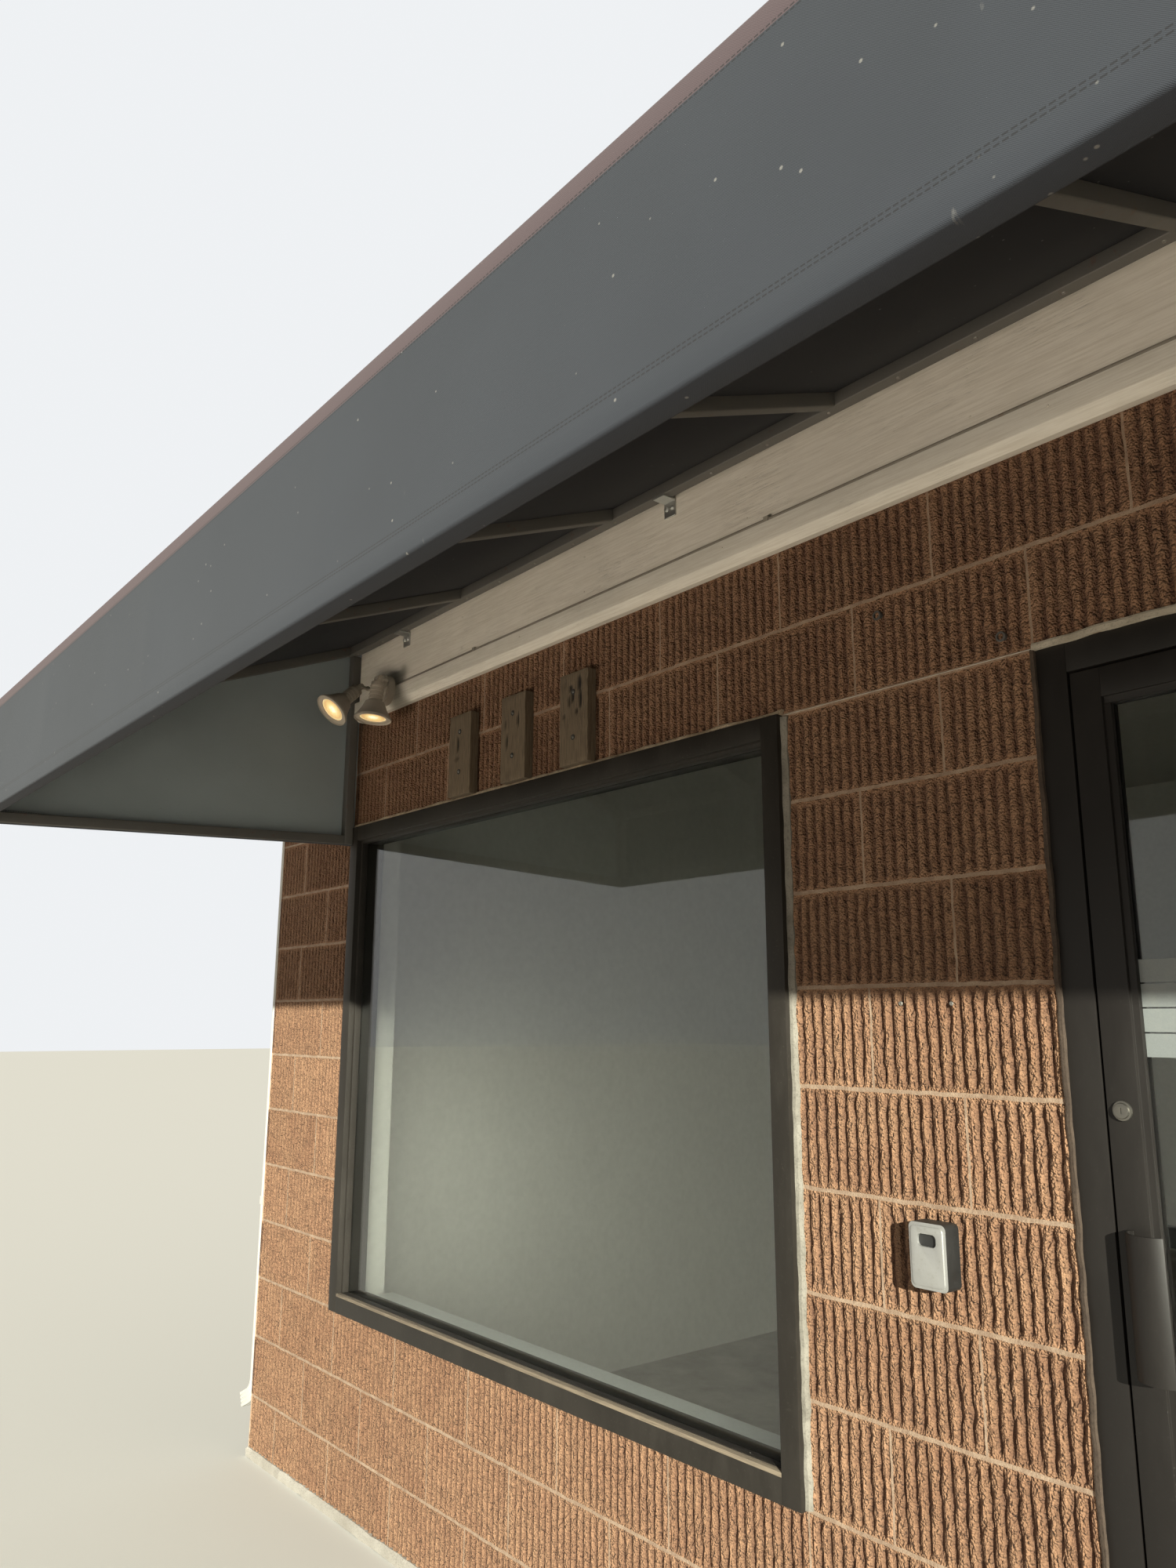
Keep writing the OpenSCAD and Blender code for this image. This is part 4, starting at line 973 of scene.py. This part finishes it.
# %% [markdown]
# The cover is built from its section: straight runs between the tubes, with a short arc at each bend. The
# same run is its flat length, so the flat size, the seams and the stitches follow from the tubes alone.

# %% Cover over top and front
front_low, front_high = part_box("awning_front_tubes")
rear_low, rear_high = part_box("awning_rear_tube")
tube = rear_high.z - rear_low.z


def along_profile(points, step, bend=0.0044):
    """Points and ways out along a bent line in the YZ plane. Each bend is a short arc of three points."""
    points = [np.array(p) for p in points]
    spots, ways, run = [points[0]], [], [0.0]
    outs = []
    for a, b in zip(points, points[1:]):
        length = np.linalg.norm(b - a)
        outs.append(np.array([b[1] - a[1], a[0] - b[0]]) / length)
        near = bend if a is not points[0] else 0.0
        far = length - (bend if b is not points[-1] else 0.0)
        if near:
            before, after = spots[-1], a + (b - a) * near / length
            spots += [a + ((before + after) / 2 - a) * 0.586, after]
            ways += [(outs[-2] + outs[-1]) / np.linalg.norm(outs[-2] + outs[-1]), outs[-1]]
        else:
            ways.append(outs[-1])
        stations = even(near, far, step)[1:]
        spots += [a + (b - a) * t / length for t in stations]
        ways += [outs[-1]] * len(stations)
    for a, b in zip(spots, spots[1:]):
        run.append(run[-1] + float(np.linalg.norm(b - a)))
    return np.array(spots), np.array(ways), np.array(run)


def awning_cover():
    end = front_high.x + REST
    y_out, z_low = front_low.y - REST, front_low.z - REST
    y_in = front_low.y + tube
    z_front, z_rear = front_high.z + REST, rear_high.z + REST
    profile = [(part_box("fascia_board")[0].y - 0.0005, z_rear), (rear_low.y, z_rear), (y_in, z_front),
               (y_out, z_front), (y_out, z_low), (y_in + REST, z_low), (y_in + REST, z_low + tube * 0.9)]
    spots, ways, run = along_profile(profile, 0.024)
    ys, zs = spots.T
    xs = np.array(even(-end, end, 0.026))
    rafters = solid_middles("awning_rafters", 0)
    on_slope = (ys > y_in + 0.004) & (ys < rear_low.y - 0.004) & (zs > z_front + 0.002)
    on_front = (ys < y_out + 0.001) & (zs < z_front - tube) & (zs > z_low + tube)
    held = np.min(np.abs(xs[None, :] - np.array(rafters)[:, None]), axis=0) < tube / 2 + 0.004
    free = (on_slope | on_front)[:, None] & ~held[None, :]
    load = np.where(on_slope[:, None], 9.0e-5, 5.0e-5)
    depth = settle(free, load)
    grid = np.zeros((len(spots), len(xs), 3))
    away = np.zeros_like(grid)
    for i, ((y, z), (wy, wz)) in enumerate(zip(spots, ways)):
        for j, x in enumerate(xs):
            slack = min(1.0, depth[i, j] / 0.003)
            wave = noise.noise(Vector((x * 3.1, y * 7, z * 7))) * 0.0016
            pucker = noise.noise(Vector((x * 17, y * 9, z * 9))) * 0.0005
            move = depth[i, j] + slack * (wave + pucker)
            grid[i, j] = x, y - wy * move, z - wz * move
            away[i, j] = 0, wy, wz
    uv = np.stack(np.broadcast_arrays(xs[None, :] + end, run[:, None]), -1)
    top_of_front = run[int(np.argmax((ys < y_out + NEAR)))]
    hem_line = top_of_front + (z_front - z_low)
    return grid, uv, away, float(run[-1]), top_of_front, hem_line, end, depth


grid, uv, away, cover_l, front_v, hem_v, cover_x, depth = awning_cover()
CANVAS = (0.034, 0.039, 0.050)
# Painted shade: the cover's inner faces take a much darker copy of the cloth, for the shade under the awning
under_cloth_painted_shade = canvas("canvas_underside", (0.0085, 0.009, 0.013))
cover_cloth = canvas("awning_canvas", CANVAS, (front_v - 0.004, front_v + 0.026),
                     (front_v + 0.0235, front_v + 0.028, hem_v - 0.046, hem_v - 0.041))
cover = cloth_sheet("awning_cover", grid, uv, (cover_cloth, under_cloth_painted_shade), away)
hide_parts("awning_top_cloth", "awning_front_cloth")
sag = round(depth.max() * 1000, 1)
print("cover:", round(2 * cover_x, 3), "by", round(cover_l, 3), "m; it hangs at most", sag, "mm")

# %% [markdown]
# An end panel fills the outline between the end rail and the edge of the cover, wraps under the rail and
# hangs a little inwards. Its inner face has a paler copy of the cloth, painted light that stands for light
# through the cloth. A thin welt follows the seam from the wall to the hem.

# %% End panels
rail_low, rail_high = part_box("awning_end_rails")


def end_panel(side):
    x = front_high.x + REST
    y_wall = FRONT + 0.001
    y_front = front_low.y - REST
    y_in = front_low.y + tube
    rail_z = rail_high.z - tube
    low_line = ((y_front, front_low.z), (y_in, front_low.z), (rail_high.y, rail_z), (y_wall, rail_z))
    top_line = ((y_front, front_high.z), (y_in, front_high.z),
                (rear_low.y, rear_high.z), (y_wall, rear_high.z))
    ys = np.array(even(y_front, y_wall, 0.025))
    low_z = np.interp(ys, *zip(*low_line)) - REST
    top_z = np.interp(ys, *zip(*top_line)) + REST
    rows = np.linspace(0, 1, 34)
    wrap = [(tube * 0.8, tube * 0.7), (tube * 0.8, 0.0), (tube * 0.4, 0.0)]
    spots = np.zeros((len(rows) + len(wrap), len(ys), 3))
    away = np.zeros_like(spots)
    uv = np.zeros((len(rows) + len(wrap), len(ys), 2))
    raised = rows[:, None] * (top_z - low_z)[None, :]
    free = (raised > tube) & ((top_z - low_z)[None, :] - raised > tube)
    free &= ((ys > y_front + tube) & (ys < rail_high.y - tube))[None, :]
    depth = settle(free, 4.0e-5)
    for j, y in enumerate(ys):
        for i, (inwards, up) in enumerate(wrap):
            spots[i, j] = side * (x - inwards), y, low_z[j] + up
            away[i, j] = (0, 0, -1) if up == 0 else (-side, 0, 0)
            uv[i, j] = y - y_front, -inwards - up
        for i, t in enumerate(rows):
            k = i + len(wrap)
            z = low_z[j] + t * (top_z[j] - low_z[j])
            fold = noise.noise(Vector((side * 3, y * 6, z * 6))) * 0.0012 * min(1.0, depth[i, j] / 0.002)
            spots[k, j] = side * (x - depth[i, j] - fold), y, z
            away[k, j] = side, 0, 0
            uv[k, j] = y - y_front, z - low_z.min()
    flat_l = float(ys[-1] - ys[0])
    height = float((top_z - low_z).max())
    area = float(np.mean(top_z - low_z)) * flat_l + flat_l * tube * 1.5
    name = "awning_end_left" if side < 0 else "awning_end_right"
    panel = cloth_sheet(name, spots, uv, (end_cloth, glow_cloth_painted_light), away)
    return panel, (flat_l, height + tube * 1.5), area


# Painted light: the inner faces take a much paler, bluer copy of the cloth, for light through it
glow_cloth_painted_light = canvas("end_canvas_inside", (0.40, 0.46, 0.49), stitches=(0.040, 0.045))
end_cloth = canvas("end_canvas", CANVAS, stitches=(0.040, 0.045))
ends = [end_panel(side) for side in (-1, 1)]
for panel, flat, area in ends:
    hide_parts("awning_end_cloths")
for side in (-1, 1):
    x = side * (front_high.x + 0.0015)
    welt("welt_" + ("left" if side < 0 else "right"), [
        (x, FRONT - 0.02, rear_high.z + 0.0015), (x, rear_low.y, rear_high.z + 0.0015),
        (x, front_low.y + tube, front_high.z + 0.0015), (x, front_low.y - 0.0015, front_high.z + 0.0015),
        (x, front_low.y - 0.0015, front_low.z)], 0.0022, end_cloth)
for panel, flat, area in ends:
    print(panel.name, [round(v, 3) for v in flat], "area", round(area, 3))

# %% [markdown]
# ## Small things
#
# Sealant fills the ribs beside the frames: grey at the sides of the windows, tan foam over their heads and a
# pale bead of mortar over the door. None of it is tidy, so each bead is a short-ringed bar that noise moves.

# %% Sealant
grey_sealant = stone_finish("grey_sealant", (0.17, 0.155, 0.13), (0.34, 0.315, 0.27), 12.0)
dark_bead = stone_finish("dark_bead", (0.045, 0.030, 0.022), (0.10, 0.07, 0.05), 20.0)
tan_foam = stone_finish("tan_foam", (0.46, 0.34, 0.22), (0.78, 0.66, 0.50), 30.0)
pale_mortar = stone_finish("pale_mortar", (0.48, 0.42, 0.33), (0.66, 0.60, 0.50), 20.0)
# How far a bead laps the frame beside it
LAP = 0.0018


def beside(name, x, low, high, width, height, material, seed):
    """A bead up the wall beside a frame, lapping it a little; width is signed, away from the frame."""
    lap = math.copysign(LAP, -width)
    section = [(lap, -0.012), (width, -0.012), (width, height * 0.25), (width * 0.55, height * 0.8)]
    section.append((lap, height))
    if width < 0:
        section = section[::-1]
    return rough_bar(name, [(x, FRONT, low), (x, FRONT, high)], section, material, 0.003, 0.011, seed)


def above(name, z, low, high, width, height, material, seed):
    section = [(-0.012, -LAP), (height, -LAP), (height * 0.7, width * 0.6), (height * 0.2, width)]
    section.append((-0.012, width))
    return rough_bar(name, [(low, FRONT, z), (high, FRONT, z)], section, material, 0.0035, 0.011, seed)


def sealants():
    beads = []
    for k, side in enumerate((-1, 1)):
        label = "left" if side < 0 else "right"
        for j, (x, width) in enumerate(((WINDOW_OUT, 0.012), (WINDOW_IN, -0.014))):
            beads.append(beside(f"sealant_{label}_{j}", side * x, SILL + 0.004, HEAD - 0.004,
                                side * width, 0.007, grey_sealant, 3 + 4 * k + j))
        from_x, to_x = sorted((side * WINDOW_OUT, side * WINDOW_IN))
        beads.append(above(f"foam_{label}", HEAD, from_x, to_x, 0.013, 0.010, tan_foam, 17 + k))
    door_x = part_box("door_jambs")[1].x
    beads.append(above("mortar_over_door", HEAD, -door_x, door_x, 0.012, 0.005, pale_mortar, 29))
    for side in (-1, 1):
        beads.append(beside("door_bead_left" if side < 0 else "door_bead_right", side * door_x, 0.05, HEAD,
                            side * 0.007, 0.002, dark_bead, 31 + side))
    return beads


print("beads:", len(sealants()))

# %% [markdown]
# One screw head is a short cone with a socket sunk in its top, about forty faces. A tree sets copies of it on
# the points of a mesh, each turned along the way out that its point carries, so every fitting names only
# where its screws sit and how wide they are.

# %% Screws


def fixing_tree():
    tree, given, result = new_tree("screw heads", [
        ("Radius", "Float", 0.005), ("Rise", "Float", 0.5), ("Sides", "Int", 12),
        ("Material", "Material", None)])
    m = sums(tree)
    radius = given["Radius"]
    rise = m("MULTIPLY", radius, given["Rise"])
    head = put(tree, "GeometryNodeMeshCone", given["Sides"], None, None,
               m("MULTIPLY", radius, 0.72), radius, rise)
    normal = put(tree, "ShaderNodeSeparateXYZ", put(tree, "GeometryNodeInputNormal"), output=2)
    lid = m("GREATER_THAN", normal, 0.9)
    rim = tree.nodes.new("GeometryNodeExtrudeMesh")
    tree.links.new(head, rim.inputs["Mesh"])
    tree.links.new(lid, rim.inputs["Selection"])
    rim.inputs["Offset Scale"].default_value = 0.0
    mouth = put(tree, "GeometryNodeScaleElements", rim.outputs["Mesh"], rim.outputs["Top"], 0.45)
    socket = tree.nodes.new("GeometryNodeExtrudeMesh")
    tree.links.new(mouth, socket.inputs["Mesh"])
    tree.links.new(rim.outputs["Top"], socket.inputs["Selection"])
    tree.links.new(m("MULTIPLY", rise, -0.6), socket.inputs["Offset Scale"])
    way = put(tree, "GeometryNodeInputNamedAttribute", "way", data_type="FLOAT_VECTOR")
    turned = put(tree, "FunctionNodeAlignRotationToVector", None, None, way, axis="Z")
    points = put(tree, "GeometryNodeMeshToPoints", given["Geometry"])
    set_out = tree.nodes.new("GeometryNodeInstanceOnPoints")
    for title, value in (("Points", points), ("Instance", socket.outputs["Mesh"]), ("Rotation", turned)):
        tree.links.new(value, set_out.inputs[title])
    single = put(tree, "GeometryNodeRealizeInstances", set_out.outputs[0])
    tree.links.new(put(tree, "GeometryNodeSetMaterial", single, None, given["Material"]), result)
    return tree


screw_heads = fixing_tree()


def screws(name, spots, radius, material, body="building"):
    mesh = bpy.data.meshes.new(name)
    mesh.from_pydata([at for at, way in spots], [], [])
    mesh.attributes.new("way", "FLOAT_VECTOR", "POINT").data.foreach_set(
        "vector", [float(v) for at, way in spots for v in way])
    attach(grow(name, mesh, screw_heads, Radius=radius, Material=material), body)


zinc = metal_finish("zinc_screw", (0.30, 0.29, 0.27), 0.5, 0.8, (0.32, 0.26, 0.18), 0.5, rust=0.2, scale=60.0)
OUTWARD, DOWN, UP = OUT["front"], (0, 0, -1), (0, 0, 1)
tube_end = rear_high.x - 0.06
screws("cover_screws", [((x, rear_low.y + 0.016, rear_low.z), DOWN) for x in even(-tube_end, tube_end, 0.18)],
       0.0042, zinc)


def beside_rail(side, y):
    up = (y - rail_low.y) / (rail_high.y - rail_low.y) * 0.05
    return (side * (rail_high.x + 0.0013), y, rail_low.z + 0.018 + up), (side, 0, 0)


screws("hem_screws", [beside_rail(side, y) for side in (-1, 1)
                      for y in even(rail_low.y + 0.1, rail_high.y - 0.08, 0.35)], 0.005, zinc)
board_low, board_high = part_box("fascia_board")
batten_low, batten_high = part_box("fascia_batten")
nails = [((x + 0.03 * math.sin(x * 9), board_low.y, z), OUTWARD)
         for x in even(board_low.x + 0.08, board_high.x - 0.08, 0.62)
         for z in (board_low.z + 0.04, board_high.z - 0.09)]
nails += [((x, batten_low.y, batten_high.z - 0.02), OUTWARD)
          for x in even(batten_low.x + 0.2, batten_high.x - 0.2, 0.8)]
screws("fascia_nails", nails, 0.0028, fascia_paint)
LOOSE_SCREWS = ((-0.840, 1.5906), (-0.726, 1.5896))
screws("wall_screws", [((x, FRONT + 0.002, z), OUTWARD) for x, z in LOOSE_SCREWS], 0.0048, zinc)
step_low, step_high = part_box("door_threshold")
screws("step_screws", [((x, FRONT + 0.06, step_high.z - 0.0002), UP) for x in (-0.36, -0.12, 0.12, 0.36)],
       0.005, zinc)
print("nails and screws are in")

# %% [markdown]
# Two old plugs sit in the wall near the door: a sleeve with a dark bore each. The threshold has ribs that
# shoes have worn, and the gutter hangs on straps across its mouth.

# %% Plugs, ribs and hangers


def tube_ring(bm, at, outer_r, inner_r, length, sides=14):
    """A closed ring standing out from the front."""
    way = Vector(OUTWARD)
    side = way.orthogonal().normalized()
    other = way.cross(side)
    section = [(outer_r, -length), (outer_r, 0), (outer_r * 0.94, 0.001)]
    section += [(inner_r, 0.001), (inner_r, -length)]
    rings = [[bm.verts.new(Vector(at) + way * h + (side * math.cos(a) + other * math.sin(a)) * r)
              for a in (2 * math.pi * i / sides for i in range(sides))] for r, h in section]
    for a, b in zip(rings, rings[1:] + rings[:1]):
        for i in range(sides):
            j = (i + 1) % sides
            bm.faces.new((a[i], a[j], b[j], b[i]))


PLUGS = ((-0.8486, 2.3977), (-0.5699, 2.2755))
bm = bmesh.new()
for x, z in PLUGS:
    tube_ring(bm, (x, FRONT - 0.0005, z), 0.0105, 0.0065, 0.008)
bmesh.ops.recalc_face_normals(bm, faces=bm.faces)
finished("wall_plugs", bm, grey_paint, smooth=30)


def bars_across(name, low_x, high_x, ys, z, section, material, wobble, step):
    """Bars along X at each numbered y, such as ribs, straps and laps."""
    for i, y in ys:
        rough_bar(f"{name}_{i}", [(low_x, y, z), (high_x, y, z)], section, material, wobble, step, i)


rib_ys = enumerate(even(FRONT + 0.022, FRONT + 0.098, 0.0095))
rib_ys = [(i, y) for i, y in rib_ys if abs(y - FRONT - 0.06) > 0.006]
bars_across("step_rib", step_low.x + 0.004, step_high.x - 0.004, rib_ys, step_high.z - 0.0005,
            [(-0.0018, 0), (-0.0009, 0.0022), (0.0009, 0.0022), (0.0018, 0)], mill, 0.0002, 0.06)
gutter_low, gutter_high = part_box("roof_gutter")
bars_across("hanger", gutter_low.x + 0.002, gutter_high.x - 0.001,
            enumerate(even(gutter_low.y + 0.25, gutter_high.y - 0.25, 0.75)), gutter_high.z - 0.004,
            [(-0.012, 0), (-0.012, 0.0022), (0.012, 0.0022), (0.012, 0)], white_metal, 0.0, 0.03)
print("hangers over", round(gutter_high.y - gutter_low.y, 2), "m of gutter")

# %% [markdown]
# The roof is felt in strips along the front, each lapped over the next lower one, with grit on it. Its
# underside is the shop's ceiling.

# %% Roof felt
felt = stone_finish("roof_felt", (0.090, 0.090, 0.088), (0.150, 0.148, 0.142), 1.6)
softened("roof_deck", felt, 0.0, parts=[(plaster, lambda c, n: n.z < -0.5)])
roof_low, roof_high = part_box("roof_deck")
bars_across("felt_lap", roof_low.x + 0.07, roof_high.x - 0.07,
            enumerate(even(roof_low.y + 0.9, roof_high.y - 0.6, 0.9)), roof_high.z - 0.001,
            [(0.0, 0.0), (0.0, 0.005), (-0.010, 0.006), (-0.30, 0.002), (-0.30, 0.0)], felt, 0.0015, 0.12)
print("felt laps on", round(roof_high.x - roof_low.x, 2), "m")

# %% [markdown]
# The key box is black with a silver face. The three offcuts over the window keep the CAD outlines; their
# fronts are fine grids that grain, chipped edges and torn knots press in.

# %% Key box and wood blocks
silver = metal_finish("key_box_face", (0.50, 0.50, 0.49), 0.38, 0.7, (0.30, 0.28, 0.24), 0.35, scale=40.0)
key_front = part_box("key_box")[0].y
softened("key_box", black, 0.0012, 2, parts=[(silver, lambda c, n: c.y < key_front + 0.0032)])


def wood_block(name, low, high, knots, seed):
    xs, zs = even(low.x, high.x, 0.0055), even(low.z, high.z, 0.0065)
    bm = bmesh.new()
    torn = bm.verts.layers.float.new("torn")
    front, back = [], []
    for z in zs:
        row_f, row_b = [], []
        for x in xs:
            rim = min(x - low.x, high.x - x, z - low.z, high.z - z)
            press = 0.0009 + 0.0009 * noise.noise(Vector((x * 150, seed, z * 7)))
            press += 0.0007 * noise.noise(Vector((x * 40, seed, z * 3)))
            if rim < 0.007:
                press += (0.007 - rim) * (0.22 + 0.45 * max(0.0, noise.noise(Vector((x * 60, seed, z * 60)))))
            knot = 0.0
            for kx, kz, rx, rz, deep in knots:
                d = math.hypot((x - low.x - kx) / rx, (z - low.z - kz) / rz)
                knot += deep * (1 - d) ** 0.5 if d < 1 else 0.0
            row_f.append(bm.verts.new((x, low.y + press + knot, z)))
            row_f[-1][torn] = min(1.0, knot / 0.003)
            row_b.append(bm.verts.new((x, high.y, z)))
        front.append(row_f)
        back.append(row_b)
    for i in range(len(zs) - 1):
        for j in range(len(xs) - 1):
            bm.faces.new((front[i][j], front[i][j + 1], front[i + 1][j + 1], front[i + 1][j]))
    last, end = len(zs) - 1, len(xs) - 1
    edge = [(0, j) for j in range(end)] + [(i, end) for i in range(last)]
    edge += [(last, j) for j in range(end, 0, -1)] + [(i, 0) for i in range(last, 0, -1)]
    for (a, b), (c, d) in zip(edge, edge[1:] + edge[:1]):
        bm.faces.new((front[c][d], front[a][b], back[a][b], back[c][d]))
    bm.faces.new([back[a][b] for a, b in edge][::-1])
    spare = [v for row in back for v in row if not v.link_faces]
    bmesh.ops.delete(bm, geom=spare, context="VERTS")
    bmesh.ops.recalc_face_normals(bm, faces=bm.faces)
    offcut = finished(name, bm, old_wood, smooth=35)
    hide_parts("wood_blocks")


# Each torn knot is its middle across and up the block, its half width and half height, and its depth
KNOTS = [[(0.052, 0.165, 0.006, 0.030, 0.004), (0.048, 0.118, 0.017, 0.008, 0.002)],
         [(0.088, 0.180, 0.006, 0.026, 0.004), (0.032, 0.122, 0.005, 0.027, 0.004),
          (0.025, 0.176, 0.004, 0.02, 0.003)],
         [(0.088, 0.225, 0.008, 0.028, 0.005), (0.048, 0.218, 0.009, 0.010, 0.005),
          (0.058, 0.192, 0.006, 0.020, 0.005), (0.092, 0.178, 0.007, 0.030, 0.005),
          (0.042, 0.180, 0.004, 0.026, 0.004), (0.020, 0.140, 0.006, 0.010, 0.003),
          (0.076, 0.146, 0.006, 0.011, 0.004), (0.026, 0.235, 0.003, 0.012, 0.003)]]
SCREW_HEIGHTS = (0.075, 0.205)
low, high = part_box("wood_blocks")
middles = solid_middles("wood_blocks", 0)
half_offcut = middles[0] - low.x
for i, (x, knots) in enumerate(zip(middles, KNOTS)):
    from_corner = Vector((x - half_offcut, low.y, low.z))
    wood_block(f"wood_block_{i}", from_corner, Vector((x + half_offcut, high.y, high.z)), knots, i * 3.7)
screw_spots = [(x, low.z + up) for x in middles for up in SCREW_HEIGHTS]
screws("block_screws", [((x, low.y + 0.001, z), OUTWARD) for x, z in screw_spots], 0.0048, zinc)
bm = bmesh.new()
for x, z in screw_spots:
    tube_ring(bm, (x, low.y + 0.0008, z), 0.0085, 0.0052, 0.003)
bmesh.ops.recalc_face_normals(bm, faces=bm.faces)
finished("block_washers", bm, black, smooth=30)
print("wood blocks at x", [round(x, 3) for x in middles])

# %% [markdown]
# A bolt head sits on each side of a lamp's knuckle and turns with the lamp. Two small screws hold the lid of
# the round box. Four bare cards are stuck to the door's glass.

# %% Lamp bolts and cards
for joint in frame["joints"]:
    if joint["name"].endswith("lamp_tilt"):
        at = Vector(joint["pos_m"])
        spots = [((at.x + side * 0.0123, at.y, at.z), (side, 0, 0)) for side in (-1, 1)]
        screws(joint["name"] + "_bolts", spots, 0.0058, lamp_paint, joint["child"])
LID_OUT, LID_UP, LID_SCREW = 0.0302, 0.062, 0.036
lid_x = middle_of("lamp_box").x
screws("lid_screws", [((lid_x, batten_low.y - LID_OUT, batten_low.z + LID_UP + up), OUTWARD)
                      for up in (-LID_SCREW, LID_SCREW)], 0.0045, zinc)


def card(bm, low, high):
    low, high = Vector(low), Vector(high)
    bmesh.ops.create_cube(bm, size=1.0, matrix=Matrix.Translation((low + high) / 2) @ Matrix.Diagonal(
        (*(high - low), 1)))


CARD_FROM, CARD_TO, CARD_LOW, CARD_H, CARD_STEP = -0.379, -0.300, 1.500, 0.038, 0.0405
bm = bmesh.new()
glass_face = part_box("door_glass")[0].y
for i in range(4):
    z = CARD_LOW + i * CARD_STEP
    card(bm, (CARD_FROM, glass_face - 0.0004, z), (CARD_TO, glass_face - 0.0001, z + CARD_H))
bare_card = paint_finish("bare_card", (0.24, 0.26, 0.26), 0.5, 0.2, (0.5, 0.48, 0.4), 20)
cards = finished("glass_cards", bm, bare_card, body="door")
print("faces on the four cards:", len(cards.data.polygons))
